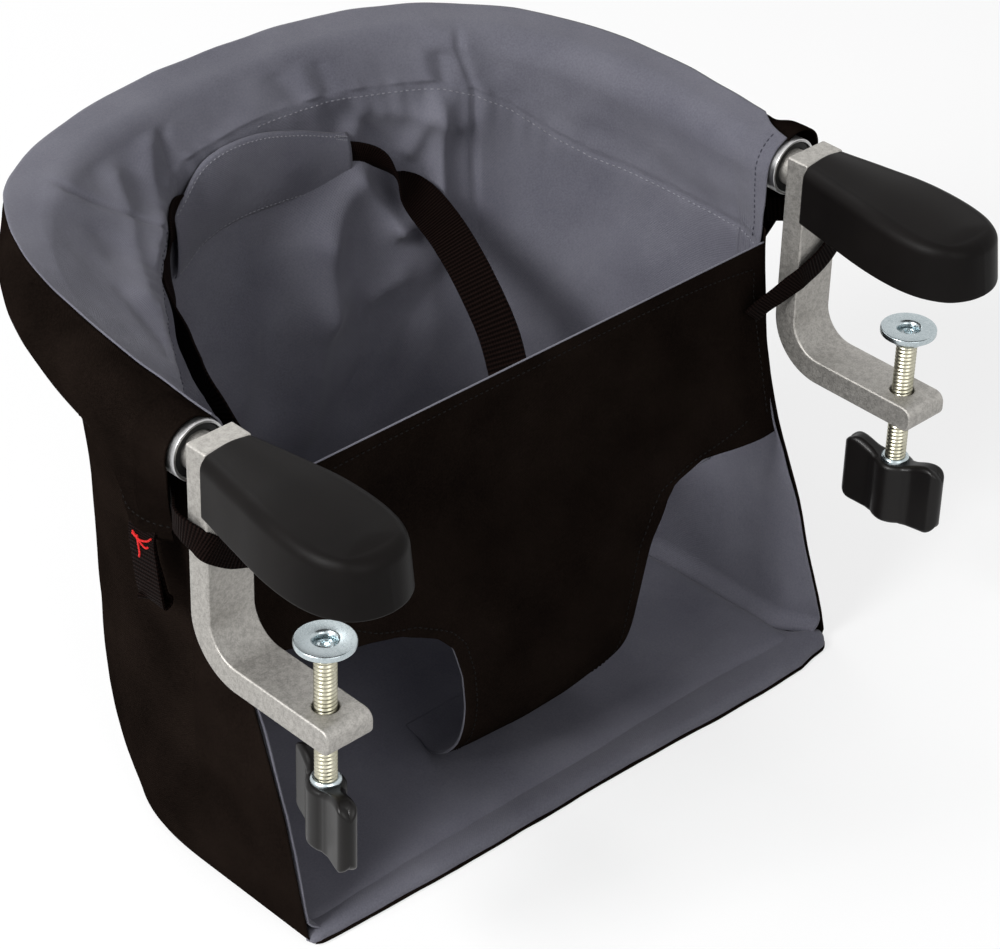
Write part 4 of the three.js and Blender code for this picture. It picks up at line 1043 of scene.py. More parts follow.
def strap(name, places, sides, width, thickness=1.3):
    """A flat strap along places; sides say which way its width turns, at even shares."""
    length = sum((Vector(b) - Vector(a)).length for a, b in zip(places, places[1:]))

    def point(a, b):
        centre = smooth_path(places, b)
        run = (smooth_path(places, b + 0.01) - smooth_path(places, b - 0.01)).normalized()
        side = smooth_path(sides, b)
        side = (side - run * side.dot(run)).normalized()
        return centre + side * width * (a - 0.5)

    piece = cloth_grid(name, *STRAP_GRID, point, (width, length), WEBBING)
    shell = piece.modifiers.new("thickness", "SOLIDIFY")
    shell.thickness = thickness * MM
    shell.offset = 0
    edge = piece.modifiers.new("edge", "BEVEL")
    edge.width, edge.segments = STRAP_EDGE * MM, 2
    print(name, "length, mm:", round(length))
    return piece


WAIST_WIDTH = 20
# The right strap leaves the pocket on edge, turns over once and then lies flat to the eye
RIGHT_WAIST = (
    (16, 178, -12), (36, 176.4, -16), (52, 174.6, -20.6), (64.6, 171, -24.3), (72.5, 166, -31),
    (79.2, 158, -40), (84, 148, -50.8), (86.5, 136, -62.3), (84.5, 117, -76.7), (80, 95, -95.9),
    (66, 72, -111), (46, 53, -117), (20, 45, -115.5),
)
RIGHT_SIDES = (
    (0, 0, 1), (0, 0, 1), (0, -0.03, 1), (-0.1, -0.45, 0.85), (-0.39, -0.84, 0.37),
    (-0.75, -0.35, -0.3), (-0.8, 0.2, -0.5), (-0.8, 0.42, -0.4), (-0.78, 0.5, -0.28),
    (-0.76, 0.5, -0.3), (-0.6, 0.3, -0.65), (-0.25, 0, -0.95), (0, -0.1, -1),
)
LEFT_WAIST = (
    (-34, 176.2, -13), (-48, 174, -12), (-59, 169.5, -9), (-70.3, 160, -8.7), (-78.1, 150, -15.5),
    (-88.1, 138, -20.9), (-94.1, 126, -27.8), (-97.8, 114, -34.9), (-101.5, 102, -40.9),
    (-103, 88, -50), (-92, 70, -82), (-62, 54, -110), (-20, 45, -115.5),
)
LEFT_SIDES = (
    (0, 0, 1), (0, 0, 1), (0.1, 0.1, 1), (0.2, 0, 1), (0.1, 0.1, 1), (-0.1, 0.3, 1),
    (-0.05, 0.2, 1), (0, 0.05, 1), (-0.1, -0.15, 1), (-0.3, -0.35, 1), (-0.25, -0.3, 1),
    (0, -0.1, 1), (0, 0, 1),
)
right_waist = strap("right_waist_webbing", RIGHT_WAIST, RIGHT_SIDES, WAIST_WIDTH)
left_waist = strap("left_waist_webbing", LEFT_WAIST, LEFT_SIDES, WAIST_WIDTH)
dress(left_waist, "root", "webbing", "left_waist_strap")
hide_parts("right_waist_strap")

# %% [markdown]
# Each clamp strap is sewn to a corner of the front panel, goes round the clamp's bar and ends on
# the flap behind it. The clamp can fold inward while the cloth stays.

# %% Clamp straps
CLAMP_STRAP_WIDTH = 12.5
CLAMP_STRAP = (
    (151, -2.4, -67.5), (155.5, -5.2, -62.5), (159.5, -9, -57.5), (163.5, -13, -52),
    (167.2, -16.4, -47.2), (172, -17.3, -44.6), (180.4, -17.4, -41.2), (187.5, -17.2, -36.6),
    (192.8, -15.8, -32.6), (195, -10, -30), (195.6, -2, -28.6), (193.4, 5.5, -28.6),
    (188, 12.5, -29.4), (183, 20, -30.5),
)
CLAMP_SIDES = (
    (-0.75, 0, 0.65), (-0.72, 0, 0.68), (-0.65, 0, 0.75), (-0.55, 0, 0.8), (-0.45, 0, 0.88),
    (-0.4, 0, 0.9), (-0.45, 0, 0.88), (-0.5, 0, 0.85), (-0.4, 0, 0.9), (-0.1, 0.1, 1), (0, 0.1, 1),
    (0, 0, 1), (0, 0, 1), (0, 0, 1),
)
for side_name, k in SIDES:
    places, sides = ([(k * x, y, z) for x, y, z in rows] for rows in (CLAMP_STRAP, CLAMP_SIDES))
    clamp_strap = strap(f"{side_name}_clamp_webbing", places, sides, CLAMP_STRAP_WIDTH)
    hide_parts(f"{side_name}_clamp_strap")
    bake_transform(clamp_strap)

# %% [markdown]
# The pocket is a sleeve of lining on the back wall that the waist strap runs through. It is open
# at both ends, and its upper and lower edges are sewn down.

# %% The pocket and the storage tab
POCKET_ENDS = (-59, 53)
POCKET_TOP = (-6, 9.8, 11.2, 3.7, -6.2)
POCKET_FOOT = (-41, -31.9, -32.2, -36.3)


def pocket_point(a, b):
    """The pocket from end to end and from its upper edge down, bulging over the strap."""
    x = mix(*POCKET_ENDS, a)
    top = smooth_path([(0, 0, height) for height in POCKET_TOP], a).z
    foot = smooth_path([(0, 0, height) for height in POCKET_FOOT], a).z
    z = mix(top, foot, b)
    back = wall(share_at(x, WALL_LEVELS[0][1]), z, LINING_INSET).y
    bulge = 2 + 4 * math.sin(math.pi * b) ** 0.5
    bulge += 0.9 * ripple((x, 0, z), 22, 41) * math.sin(math.pi * b)
    corner = 5 * ease(-34, -60, x)
    return Vector((x, back - bulge - corner, z))


pocket = cloth_grid("waist_strap_pocket", 60, 26, pocket_point, (110, 42), LINING, flip=True)
thicken(pocket, 0.8)
dress(pocket, "root", "lining_fabric", "harness_pocket")

TAB = (
    (-184.2, 36.5, -48), (-186.4, 36.5, -54), (-187.0, 36, -60), (-186.6, 35, -70),
    (-186.2, 34, -80), (-185.2, 33.2, -88.5), (-183.6, 33.2, -89.6), (-182.3, 34.5, -87),
    (-182.2, 37, -78), (-182.8, 39.5, -68), (-183.4, 40.5, -58),
)
TAB_SIDES = [
    (0, 1, 0.02), (0, 1, 0), (0, 1, -0.06), (0, 1, -0.08), (0, 1, -0.06), (0, 1, 0), (0, 1, 0.1),
    (0, 1, 0.22), (0, 1, 0.28), (0, 1, 0.28), (0, 1, 0.28),
]
TAB_WIDTH = 17
storage_tab = strap("storage_loop", TAB, TAB_SIDES, TAB_WIDTH, thickness=1.2)
dress(storage_tab, "root", "webbing", "storage_tab")

# %% [markdown]
# ## Closed hard forms
# Two ways of making a smooth solid serve most of the hard pieces. A turned piece is a section that
# is spun about an axis. A lofted piece is a grid drawn onto a formula that goes round the piece
# with one share and from the middle of its floor to the middle of its top with the other; the
# places where the grid meets itself are then merged.

# %% Helpers for hard forms
def soften(piece, width, segments=3, angle=30):
    """Rounds the sharp edges of a piece, with the radius in millimetres."""
    edge = piece.modifiers.new("edges", "BEVEL")
    edge.width, edge.segments = width * MM, segments
    edge.limit_method, edge.angle_limit = "ANGLE", math.radians(angle)
    edge.harden_normals = True


def closed_piece(name, bm, finish_used):
    """Merges what coincides, points the faces outward and makes the object."""
    bmesh.ops.remove_doubles(bm, verts=bm.verts, dist=0.004 * MM)
    bmesh.ops.recalc_face_normals(bm, faces=bm.faces)
    piece = new_object(name, mesh_of(bm, name))
    piece.data.materials.append(finish_used)
    return piece


def spun(bm, section, centre, axis="Z", steps=48, turns=1, rise=0.0):
    """Spins a section of (radius, height) about an axis through centre; rise makes it a screw."""
    along = {"Y": (0, 1, 0), "Z": (0, 0, 1)}[axis]
    x, y, z = centre
    spots = [(x + r, y + along[1] * h, z + along[2] * h) for r, h in section]
    corners = [bm.verts.new(at(*spot)) for spot in spots]
    edges = [bm.edges.new(pair) for pair in zip(corners, corners[1:])]
    bmesh.ops.spin(
        bm, geom=corners + edges, cent=at(*centre), axis=along, dvec=(0, 0, rise * MM / steps),
        angle=2 * math.pi * turns, steps=int(steps * turns), use_merge=False)


def turned(name, section, centre, finish_used, axis="Z", edge=0.0, steps=48):
    """A turned piece, with its sharp edges rounded where edge says how much."""
    bm = bmesh.new()
    spun(bm, section, centre, axis, steps)
    piece = closed_piece(name, bm, finish_used)
    if edge:
        soften(piece, edge, 2)
    return piece


def lofted(name, columns, rows, place, finish_used):
    """A closed piece from a grid that is drawn onto place(a, b)."""
    bm = bmesh.new()
    bmesh.ops.create_grid(bm, x_segments=columns, y_segments=rows, size=1)
    for vertex in bm.verts:
        vertex.co = at(*place((vertex.co.x + 1) / 2, (vertex.co.y + 1) / 2))
    return closed_piece(name, bm, finish_used)


# Shares at which a lofted form's floor, lower edge, side and upper edge end
FLOOR_END, LOW_EDGE_END, SIDE_END, TOP_EDGE_END = 0.14, 0.24, 0.6, 0.8


def shell_row(b, floor_edge, top_edge, height):
    """How a lofted form goes up: inset, rise, and how far the caps have closed in, for share b."""
    if b < FLOOR_END:
        return floor_edge, 0.0, 1 - b / FLOOR_END
    if b < LOW_EDGE_END:
        turn = (b - FLOOR_END) / (LOW_EDGE_END - FLOOR_END) * math.pi / 2
        return floor_edge * (1 - math.sin(turn)), floor_edge * (1 - math.cos(turn)), 0.0
    if b < SIDE_END:
        share = (b - LOW_EDGE_END) / (SIDE_END - LOW_EDGE_END)
        return 0.0, mix(floor_edge, height - top_edge, share), 0.0
    if b < TOP_EDGE_END:
        turn = (b - SIDE_END) / (TOP_EDGE_END - SIDE_END) * math.pi / 2
        return top_edge * (1 - math.cos(turn)), height - top_edge * (1 - math.sin(turn)), 0.0
    return top_edge, height, (b - TOP_EDGE_END) / (1 - TOP_EDGE_END)


# %% [markdown]
# ## Clamps
# Each clamp is one casting of flat-bar section: a bar behind the table's edge, a bend, and a lower
# arm with the hole for the spindle. Its side view is drawn as an outline, pushed to its width, and
# every sharp edge is rounded. A stub behind the bar turns inside the frame tube.

# %% Clamps
BAR_WIDTH, BAR_THICK, BAR_BACK, BAR_TOP = 25, 12.5, -2.5, 12.5
LOWER_TOP, LOWER_END = -86.8, -89.5
OUTER_BEND, INNER_BEND = 28.5, 16
SCREW_Y = -73.7
CORE_TOP, CORE_END = 6.5, -98
# The lower arm's end is rounded by these two radii, above and below
NOSE_TOP, NOSE_FOOT = 5.2, 4.4
DRILL_SECTION = [(0, -8), (5.7, -8), (5.7, 8), (0, 8)]
STUB_SECTION = [(0, -1), (9, -1), (9, 24), (7.5, 26), (0, 26)]


def arc(centre, radius, start, end, steps):
    """Points of an arc in the side view, with angles in degrees."""
    turns = [math.radians(mix(start, end, i / steps)) for i in range(steps + 1)]
    return [(centre[0] + radius * math.cos(a), centre[1] + radius * math.sin(a)) for a in turns]


bar_front = BAR_BACK - BAR_THICK
lower_foot = LOWER_TOP - BAR_THICK
CLAMP_OUTLINE = [
    (BAR_BACK, BAR_TOP), (bar_front, BAR_TOP), (bar_front, CORE_TOP), (CORE_END, CORE_TOP),
    (CORE_END, CORE_TOP - BAR_THICK), (bar_front, CORE_TOP - BAR_THICK),
    *arc((bar_front - INNER_BEND, LOWER_TOP + INNER_BEND), INNER_BEND, 0, -90, 20),
    *arc((LOWER_END + NOSE_TOP, LOWER_TOP - NOSE_TOP), NOSE_TOP, 90, 180, 10),
    *arc((LOWER_END + NOSE_FOOT, lower_foot + NOSE_FOOT), NOSE_FOOT, 180, 270, 8),
    *arc((BAR_BACK - OUTER_BEND, lower_foot + OUTER_BEND), OUTER_BEND, -90, 0, 26),
]

for side_name, k in SIDES:
    bm = bmesh.new()
    left_x = k * HALF - BAR_WIDTH / 2
    face = bm.faces.new([bm.verts.new(at(left_x, y, z)) for y, z in CLAMP_OUTLINE])
    pushed = bmesh.ops.extrude_face_region(bm, geom=[face])
    far = [v for v in pushed["geom"] if isinstance(v, bmesh.types.BMVert)]
    bmesh.ops.translate(bm, verts=far, vec=(BAR_WIDTH * MM, 0, 0))
    arm = closed_piece(f"{side_name}_clamp_casting", bm, CAST)
    drill = turned(f"{side_name}_drill", DRILL_SECTION, (k * HALF, SCREW_Y, LOWER_TOP - 6), CAST)
    hole = arm.modifiers.new("screw hole", "BOOLEAN")
    hole.object, hole.solver = drill, "EXACT"
    applied(arm)
    bpy.data.objects.remove(drill)
    soften(arm, 1.1, 3)
    dress(arm, f"{side_name}_clamp", "cast_aluminium", f"{side_name}_clamp_arm")
    stub = turned(f"{side_name}_clamp_stub", STUB_SECTION, (k * HALF, BAR_BACK, 0), CAST, "Y", 0.4)
    dress(stub, f"{side_name}_clamp", "cast_aluminium")

# %% [markdown]
# ## Rubber covers
# A cover is a long shoe: widest two thirds of the way out, blunt at the tip, square at the bar.
# Its top falls a little towards the tip and narrows on its way up, and its upper edge is well
# rounded. The plan is a table of places along it with the half width there.

# %% Rubber covers
COVER_ROOT, COVER_TIP, COVER_HALF, COVER_HEIGHT = -15.1, -114.8, 26.2, 30
COVER_DRAFT, COVER_DROP = 4, 4
COVER_EDGE, COVER_SOLE_EDGE = 6.5, 1.6
COVER_PLAN = (
    (0, 0.58), (0.07, 0.635), (0.17, 0.72), (0.29, 0.813), (0.4, 0.9), (0.5, 0.962), (0.61, 1),
    (0.71, 0.995), (0.8, 0.935), (0.87, 0.825), (0.932, 0.66), (0.972, 0.44), (0.993, 0.22), (1, 0),
)
# The share of the way round that the straight root takes
ROOT_SHARE = 0.12


def cover_point(a, b):
    """The cover at share a round its plan, from the root's end, and b from floor to top."""
    inset, rise_up, closed = shell_row(b, COVER_SOLE_EDGE, COVER_EDGE, COVER_HEIGHT)
    length = COVER_ROOT - COVER_TIP
    share = rise_up / COVER_HEIGHT
    if a > 1 - ROOT_SHARE:
        side, along, wide = 1, 0.0, COVER_PLAN[0][1] * mix(-1, 1, (a - 1 + ROOT_SHARE) / ROOT_SHARE)
    else:
        round_share = a / (1 - ROOT_SHARE) * 2
        side = 1 if round_share < 1 else -1
        spot = smooth_path([(*row, 0) for row in COVER_PLAN], 1 - abs(1 - round_share))
        along, wide = min(1, max(0, spot.x)), max(0, spot.y)
    nose = along ** 6
    draft = inset + COVER_DRAFT * share * along
    half_width = COVER_HALF * wide
    x = half_width - min(half_width, draft * (1 - nose))
    if a > 1 - ROOT_SHARE:
        x = half_width * (1 - draft / (COVER_HALF * COVER_PLAN[0][1]))
    y = COVER_ROOT - along * length + draft * nose
    centre_y = min(COVER_ROOT - 0.2, max(COVER_TIP + 19, y))
    x, y = side * x * (1 - closed), mix(y, centre_y, closed)
    out_share = (COVER_ROOT - y) / length
    crown = 1.2 * ease(0.7, 1, share) * math.sin(math.pi / 2 * closed)
    drop = COVER_DROP * share * ease(0.35, 1, out_share)
    return Vector((x, y, BAR_TOP - COVER_HEIGHT + rise_up + crown - drop))


def place_at(centre, place, turn=0.0):
    """The same form moved to a centre and turned about the vertical, in degrees."""
    cos, sin = math.cos(math.radians(turn)), math.sin(math.radians(turn))

    def moved(a, b):
        p = place(a, b)
        x, y = p.x * cos - p.y * sin, p.x * sin + p.y * cos
        return Vector((centre[0] + x, centre[1] + y, centre[2] + p.z))
    return moved


for side_name, k in SIDES:
    cover_place = place_at((k * HALF, 0, 0), cover_point)
    cover = lofted(f"{side_name}_rubber_cover", 150, 60, cover_place, RUBBER)
    dress(cover, f"{side_name}_clamp", "cover_rubber", f"{side_name}_arm_cover")

# %% [markdown]
# ## Spindles, pads and knobs
# The spindle has a real helical thread, two millimetres a turn: one tooth is spun upward turn after
# turn. The pad on its tip is flared underneath and has a countersunk socket on top, where a small
# hex screw holds it. The wing knob is a paddle that thickens into a hub round a zinc insert.

# %% Spindles, pads and knobs
PITCH = 2.0
TOOTH = [(4.25, 0), (4.25, 0.35), (5, 0.75), (5, 1.3), (4.25, 1.7), (4.25, 2.0)]
THREAD_FOOT, THREAD_TURNS = -126.5, 33
PAD_SECTION = [
    (3, -60), (6.2, -60.4), (6.9, -60.2), (7.4, -59.4), (8.9, -57.9), (10.9, -56.4), (12.7, -55.5),
    (13.2, -55.2), (13.3, -54.8), (13.3, -53.2), (13.15, -52.75), (12.8, -52.5), (6.4, -52.5),
    (6.1, -52.6), (5.1, -53.7), (5, -54), (5, -56.5), (3, -56.5), (3, -60),
]
RETAINER_SECTION = [(4.2, -56.4), (4.2, -55.9), (3.9, -55.5), (3.3, -55.2), (2.1, -55.1)]
HEX_SECTION = [(2.15, -55.1), (2.1, -55.2), (2.1, -56.3), (0, -56.4)]
INSERT_SECTION = [
    (5.05, -123.6), (5.9, -123.6), (6.7, -124.4), (6.8, -125.6), (6.5, -126.6), (6, -126.8),
    (6, -147.9), (0, -147.9),
]
KNOB_SPAN, KNOB_THICK, KNOB_HUB = 27.5, 4.4, 8.8
KNOB_WING_TOP, KNOB_HUB_TOP, KNOB_FOOT = -121.5, -126, -158.5
KNOB_EDGE, KNOB_CORNER = 2.6, 6.0
# The knob is first worked out at this height, and its straight part is then stretched
KNOB_UNIT = 10.0
# Below this cosine of the way round, the outline turns at a wing's tip
KNOB_TIP = 0.35
# Degrees that the wings stand turned from straight across, seen from above
KNOB_TURNS = {"left": 70, "right": 96}


def knob_half(s):
    """Half the knob's thickness at a distance along the wings: a hub that flows into the plate."""
    tip = max(0, (abs(s) - KNOB_SPAN + KNOB_THICK) / KNOB_THICK)
    plate = KNOB_THICK * math.sqrt(max(0, 1 - tip ** 2))
    hub = math.sqrt(max(0, KNOB_HUB ** 2 - s ** 2))
    return max(plate, hub) + 1.1 * hump(abs(s), 8.2, 2.6)


def knob_point(a, b):
    """The knob at share a round it and b from floor to top; its columns are close at the tips."""
    turn = 2 * math.pi * a
    s = KNOB_SPAN * math.sin(turn)
    if abs(math.cos(turn)) <= KNOB_TIP:
        near = 1 - (math.cos(turn) / KNOB_TIP) ** 2
        s = math.copysign(KNOB_SPAN * mix(math.sqrt(1 - KNOB_TIP ** 2), 1, near), math.sin(turn))
    half = math.copysign(knob_half(s), math.cos(turn))
    corner = max(0, abs(s) - KNOB_SPAN + KNOB_CORNER) / KNOB_CORNER
    bite = KNOB_CORNER * 0.8 * (1 - math.sqrt(max(0, 1 - min(1, corner) ** 2)))
    top = mix(KNOB_HUB_TOP, KNOB_WING_TOP, ease(5, 22, abs(s))) - bite
    foot = KNOB_FOOT + bite + 0.6 * ease(10, 24, abs(s))
    inset, rise_up, closed = shell_row(b, KNOB_EDGE, KNOB_EDGE, KNOB_UNIT)
    share = rise_up / KNOB_UNIT
    if share < 0.3:
        z = foot + rise_up
    elif share > 0.7:
        z = top - (KNOB_UNIT - rise_up)
    else:
        z = mix(foot + 3, top - 3, (share - 0.3) / 0.4)
    shrink = max(0, 1 - inset / max(0.1, abs(half)))
    along = s * (1 - inset / KNOB_SPAN)
    return Vector((along, half * shrink * (1 - closed), z))


for side_name, k in SIDES:
    centre = (k * HALF, SCREW_Y, 0)
    bm = bmesh.new()
    spun(bm, [(r, THREAD_FOOT + h) for r, h in TOOTH], centre, "Z", 24, THREAD_TURNS, PITCH)
    screw = closed_piece(f"{side_name}_threaded_spindle", bm, SPINDLE_ZINC)
    dress(screw, f"{side_name}_screw", "zinc_steel", f"{side_name}_clamp_screw")
    pad = turned(f"{side_name}_flared_pad", PAD_SECTION, centre, PAD_ZINC, edge=0.15, steps=72)
    dress(pad, f"{side_name}_pad", "zinc_steel", f"{side_name}_pressure_pad")
    retainer = turned(f"{side_name}_socket_screw", RETAINER_SECTION, centre, PAD_ZINC, steps=36)
    dress(retainer, f"{side_name}_screw", "zinc_steel", f"{side_name}_pad_retainer")
    hexagon = turned(f"{side_name}_hex_socket", HEX_SECTION, centre, PAD_ZINC, steps=6)
    for flat in hexagon.data.polygons:
        flat.use_smooth = False
    dress(hexagon, f"{side_name}_screw", "zinc_steel")
    insert = turned(f"{side_name}_flanged_insert", INSERT_SECTION, centre, PAD_ZINC, edge=0.2)
    dress(insert, f"{side_name}_screw", "zinc_steel", f"{side_name}_knob_insert")
    knob_place = place_at(centre, knob_point, turn=KNOB_TURNS[side_name])
    knob = lofted(f"{side_name}_paddle_knob", 128, 60, knob_place, KNOB_PLASTIC)
    dress(knob, f"{side_name}_screw", "knob_plastic", f"{side_name}_wing_knob")

# %% [markdown]
# ## The frame tube
# The tube is the sheet of its own wall: a grid that goes round the section and along the bend, then
# gets the thickness of steel. Its cut ends are slightly rounded and stay bright. A plastic bush
# sits in each end, and a rivet below holds it and stops the clamp's turn.

# %% The frame tube
TUBE_RADIUS, TUBE_WALL = 14, 1.5


def tube_point(a, b):
    """The tube's outer face at share a along it and b round its section."""
    turn = 2 * math.pi * b
    around = outward(a) * math.cos(turn) + Vector((0, 0, math.sin(turn)))
    return tube_axis(a) + around * TUBE_RADIUS


tube = cloth_grid("bent_tube", 180, 64, tube_point, (700, 88), TUBE_STEEL, flip=True)
bm = bmesh.new()
bm.from_mesh(tube.data)
bmesh.ops.remove_doubles(bm, verts=bm.verts, dist=0.01 * MM)
bmesh.ops.recalc_face_normals(bm, faces=bm.faces)
bm.to_mesh(tube.data)
bm.free()
wall_of_tube = tube.modifiers.new("wall", "SOLIDIFY")
wall_of_tube.thickness, wall_of_tube.offset = TUBE_WALL * MM, -1
soften(tube, 0.5, 3, 50)
dress(tube, "root", "tube_steel", "frame_tube")

BUSH_SECTION = [(9.25, 4.5), (12.3, 4.5), (12.3, 22.5), (9.25, 22.5), (9.25, 4.5)]
RIVET_SECTION = [
    (0, -15.7), (1.2, -15.65), (2.3, -15.3), (3.05, -14.8), (3.2, -14.3), (1.9, -14.2), (1.9, -7),
    (0, -7),
]
for side_name, k in SIDES:
    bush_centre = (k * HALF, 0, 0)
    bush = turned(f"{side_name}_plastic_bush", BUSH_SECTION, bush_centre, DARK_PLASTIC, "Y", 0.3)
    dress(bush, "root", "black_plastic", f"{side_name}_tube_bush")
    rivet = turned(f"{side_name}_rivet_head", RIVET_SECTION, (k * HALF, 9.5, 0), PAD_ZINC, steps=24)
    dress(rivet, "root", "zinc_steel", f"{side_name}_stop_rivet")

# %% [markdown]
# ## Buckle and board
# The buckle halves and the stiff board in the base keep their solids, whose shape is right, and
# only take a finish of their own.

# %% Buckle and board
BOARD_PLASTIC = moulded_finish(
    "board_plastic", (0.2, 0.2, 0.19), 0.5, 0.1, 500.0, 0.2, Specular_IOR_Level=0.4)
KEPT_SOLIDS = {
    "buckle_female": DARK_PLASTIC, "buckle_male": DARK_PLASTIC, "seat_board": BOARD_PLASTIC,
}
for node, node_finish in KEPT_SOLIDS.items():
    solid = bpy.data.objects[node]
    solid.data.materials.clear()
    solid.data.materials.append(node_finish)

# %% [markdown]
# ## Stitching and small sewn pieces
# A row of stitches is a run of small beads, each stretched along the row and pressed half into the
# cloth. Rows follow the same formulas as the sheets, so they lie on them. The piping round the
# front of the base and the thick hem of the flap are what the eye reads as edges of the cloth.

# %% Stitches
def stitches(name, row, thread, slot, pitch=3.2, length=2.1, radius=0.32):
    """A run of stitches along a row of places in millimetres."""
    bm = bmesh.new()
    travelled, target = 0.0, pitch / 2
    for start, end in zip(row, row[1:]):
        step = (end - start).length
        while step and target <= travelled + step:
            spot = at(*start.lerp(end, (target - travelled) / step))
            turn = (end - start).to_track_quat("X", "Z").to_matrix().to_4x4()
            stretch = Matrix.Diagonal((length / 2 * MM, radius * MM, radius * MM, 1))
            shape = Matrix.Translation(spot) @ turn @ stretch
            bmesh.ops.create_uvsphere(bm, u_segments=6, v_segments=4, radius=1, matrix=shape)
            target += pitch
        travelled += step
    piece = new_object(name, mesh_of(bm, name))
    piece.data.materials.append(thread)
    dress(piece, "root", slot)


def row_of(place, shares):
    """The places of a sheet at the given pairs of shares."""
    return [place(*share) for share in shares]


def shares_between(start, end, count):
    """Pairs of shares on a straight line, evenly spaced."""
    return [tuple(mix(a, b, i / count) for a, b in zip(start, end)) for i in range(count + 1)]


# Row, its sheet, start and end as shares, steps, thread, then pitch, length and radius of a stitch
LEFT_T, RIGHT_T = 0.052, 1 - 0.052
LINING_ROWS = (
    ("lining_seam", lining_point, (0.5, 0.427), (0.985, 0.427), 150, PALE_THREAD),
    ("left_slope", lining_point, (0.03, 0.428), (0.4, 0.428), 90, SLATE_THREAD, 3.4),
    ("left_hem", lining_point, (LEFT_T, 0.02), (LEFT_T, 0.41), 60, SLATE_THREAD, 3.0, 2.2, 0.4),
    ("left_front", lining_point, (LEFT_T, 0.44), (LEFT_T, 0.62), 20, SLATE_THREAD, 3.0, 2.2, 0.36),
    ("right_hem", lining_point, (RIGHT_T, 0.02), (RIGHT_T, 0.41), 60, SLATE_THREAD, 3.0, 2.2, 0.4),
    ("right_front", lining_point, (RIGHT_T, 0.44), (RIGHT_T, 0.62), 20, SLATE_THREAD,
     3.0, 2.2, 0.36),
    ("pocket_top", pocket_point, (0.01, 0.06), (0.985, 0.06), 60, PALE_THREAD, 2.6, 1.9, 0.3),
    ("pocket_foot", pocket_point, (0.01, 0.94), (0.985, 0.94), 60, PALE_THREAD, 2.6, 1.9, 0.3),
)
for name, place, start, end, count, thread, *bead in LINING_ROWS:
    row = row_of(place, shares_between(start, end, count))
    stitches(f"{name}_stitches", row, thread, "lining_fabric", *bead)
for name, b in (("top", 0.06), ("foot", 0.94)):
    tack = row_of(pocket_point, shares_between((0.93, b), (0.985, b + 0.02), 8))
    for i, lift in enumerate((-1.0, 0.9)):
        row = [p + Vector((0, -0.2, lift)) for p in tack]
        stitches(f"pocket_{name}_tack_{i}", row, PALE_THREAD, "lining_fabric", 1.2, 1.4, 0.35)

OUTER_BEAD, SEAM_BEAD = (3.2, 2.2, 0.34), (3.4, 2.2, 0.36)
panel_rows = {
    "top": shares_between((0.02, 0.032), (0.98, 0.032), 90),
    "left_front": shares_between((0.022, 0.035), (0.022, 0.23), 30),
    "right_front": shares_between((0.978, 0.035), (0.978, 0.23), 30),
    "left_leg": (shares_between((0.045, 0.26), (0.06, 0.45), 40)
                 + shares_between((0.06, 0.46), (0.07, 0.95), 60)),
    "right_leg": (shares_between((0.955, 0.26), (0.94, 0.45), 40)
                  + shares_between((0.94, 0.46), (0.93, 0.95), 60)),
}
for name, shares in panel_rows.items():
    row = [p - Vector((0, 0.15, 0)) for p in row_of(panel_point, shares)]
    stitches(f"panel_{name}_stitches", row, DARK_THREAD, "outer_fabric", *OUTER_BEAD)
for name, (start, end) in {"left": (0.004, 0.30), "right": (0.70, 0.996)}.items():
    shares = shares_between((start, 0.9), (end, 0.9), 90)
    row = [sleeve_point(t, b) + outward(t) * 0.1 for t, b in shares]
    stitches(f"{name}_flap_stitches", row, DARK_THREAD, "outer_fabric", *OUTER_BEAD)
for t, name in ((SEAM_SHARE, "left"), (1 - SEAM_SHARE, "right")):
    for letter, offset in (("a", -0.004), ("b", 0.004)):
        shares = shares_between((t + offset, 0.1), (t + offset, 0.95), 60)
        row = [p + outward(t) * 0.1 for p in row_of(outer_wall_point, shares)]
        stitches(f"{name}_side_seam_{letter}", row, DARK_THREAD, "outer_fabric", *SEAM_BEAD)


# %% The base's front edge and the red tack
# How far the cloth stands forward of the base's corners, read along x
FRONT_SLACK = (
    (-165, 0), (-150, 1.5), (-97, 3.5), (-54, 4.5), (32, 5.6), (77, 7.6), (118, 9), (148, 8.6),
    (158, 6), (168, 4.5), (176, 0),
)
LIP_ENDS = (-165.2, 175)
# How much shorter the cloth's rear edge is at each end, to stay inside the walls
LIP_REAR_INSET = (2.8, 11.5)
# Both ends are folded in to this spot of the section, over this share of the length
LIP_FOLD, LIP_FOLD_SHARE = (-42.5, -244.4), 0.012
LIP_SECTION = (
    (0, -26, -243.4), (0, -35, -242.5), (0, -40, -241.2), (0, -43, -241.3), (0, -45.2, -243.1),
    (0, -45.8, -245.2), (0, -45, -246.6),
)
# The binding stops this short of the cloth's ends, and follows this line of its section
PIPING_INSET = 1.8
PIPING_LINE = (-45.9, -246.0)


def front_slack(x):
    """How far the front edge stands forward at x, with a little wandering."""
    return table(FRONT_SLACK, x) + 0.8 * ripple((x, 0, 9), 30, 53)


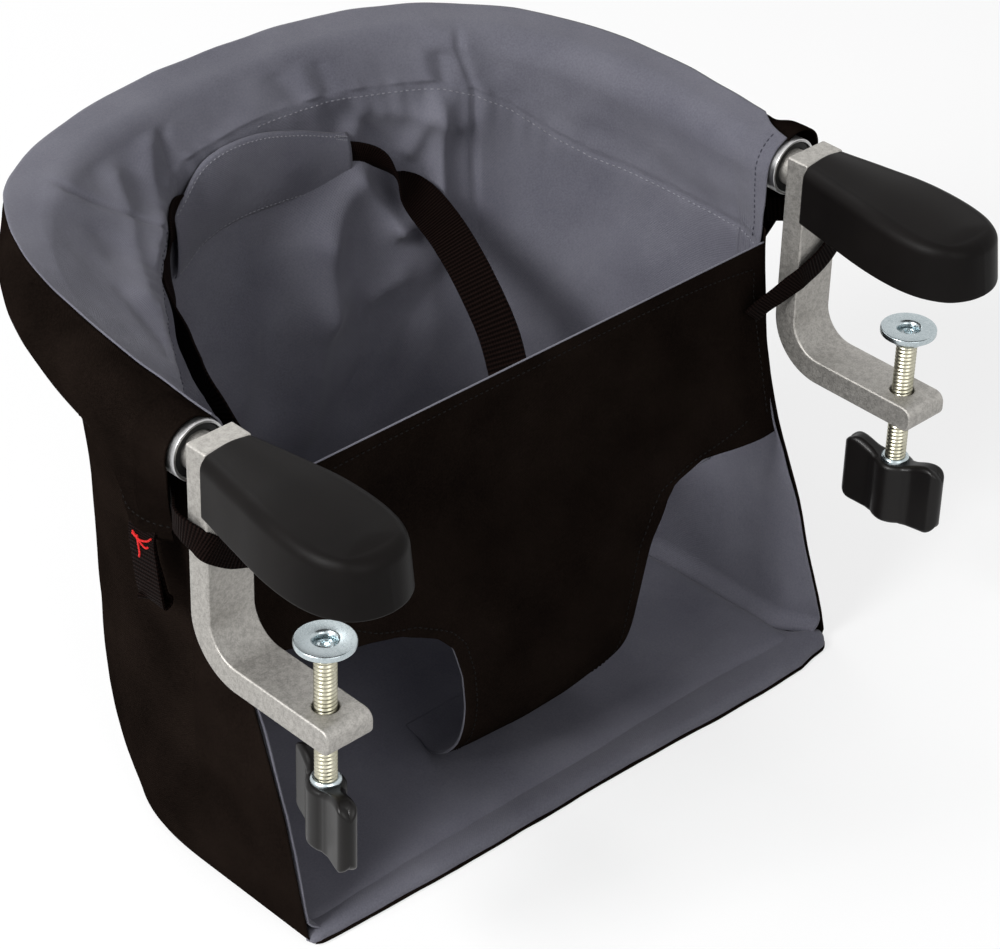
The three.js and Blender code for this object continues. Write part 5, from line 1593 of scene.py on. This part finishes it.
def lip_point(a, b):
    """Grey cloth over the front of the base: from on top of the pad, round its edge and under."""
    rear = ease(0.45, 0, b)
    x = mix(LIP_ENDS[0] + LIP_REAR_INSET[0] * rear, LIP_ENDS[1] - LIP_REAR_INSET[1] * rear, a)
    sink = 0.5 * ripple((x, 0, 5), 40, 51)
    spot = smooth_path(LIP_SECTION, b)
    y = spot.y - front_slack(x) * ease(0.15, 0.6, b)
    z = spot.z + sink * ease(0, 0.3, b) * ease(1, 0.7, b)
    full = math.sqrt(ease(0, LIP_FOLD_SHARE, min(a, 1 - a)))
    return Vector((x, mix(LIP_FOLD[0], y, full), mix(LIP_FOLD[1], z, full)))


lip = cloth_grid("base_front_cloth", 140, 20, lip_point, (340, 30), LINING)
thicken(lip, 0.6)
dress(lip, "root", "lining_fabric")


def piping_point(a, b):
    """The dark binding: a narrow roll along the lower front edge that wanders a little."""
    x = mix(LIP_ENDS[0] + PIPING_INSET, LIP_ENDS[1] - PIPING_INSET, a)
    turn = 2 * math.pi * b
    closing = math.sqrt(ease(1, 0.985, max(a, 1 - a)))
    radius = (1.25 + 0.2 * ripple((x, 0, 2), 12, 57)) * closing
    y, z = PIPING_LINE[0] - front_slack(x), PIPING_LINE[1]
    return Vector((x, y + radius * math.cos(turn), z + radius * math.sin(turn)))


piping = cloth_grid("front_piping", 170, 12, piping_point, (333, 8), OUTER, flip=True)
dress(piping, "root", "outer_fabric", "front_binding")
row = row_of(lip_point, shares_between((0.01, 0.56), (0.99, 0.56), 120))
stitches("base_front_stitches", row, SLATE_THREAD, "lining_fabric", 3.4, 2.2, 0.3)

# The red tack at the storage loop is three short runs of thread, one over the other
TACK = (
    ((-187.6, 42, -57.5), (-187.6, 37, -58.8), (-187.5, 32, -57), (-187.3, 29.5, -54.6)),
    ((-187.7, 41.5, -56.2), (-187.7, 37.5, -59.4), (-187.6, 33.5, -61), (-187.5, 31.5, -60)),
    ((-187.7, 38.5, -57), (-187.7, 38, -61), (-187.5, 37.5, -65.5), (-187.4, 38, -68)),
)
for i, places in enumerate(TACK):
    row = [smooth_path(places, j / 12) for j in range(13)]
    stitches(f"red_tack_{i}", row, RED_THREAD, "webbing", 0.7, 1.6, 0.55)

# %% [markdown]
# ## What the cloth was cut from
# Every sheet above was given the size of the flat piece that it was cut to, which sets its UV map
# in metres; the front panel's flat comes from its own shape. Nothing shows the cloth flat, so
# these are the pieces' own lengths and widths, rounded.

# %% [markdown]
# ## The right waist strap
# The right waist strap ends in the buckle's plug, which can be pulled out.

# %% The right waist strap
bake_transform(right_waist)
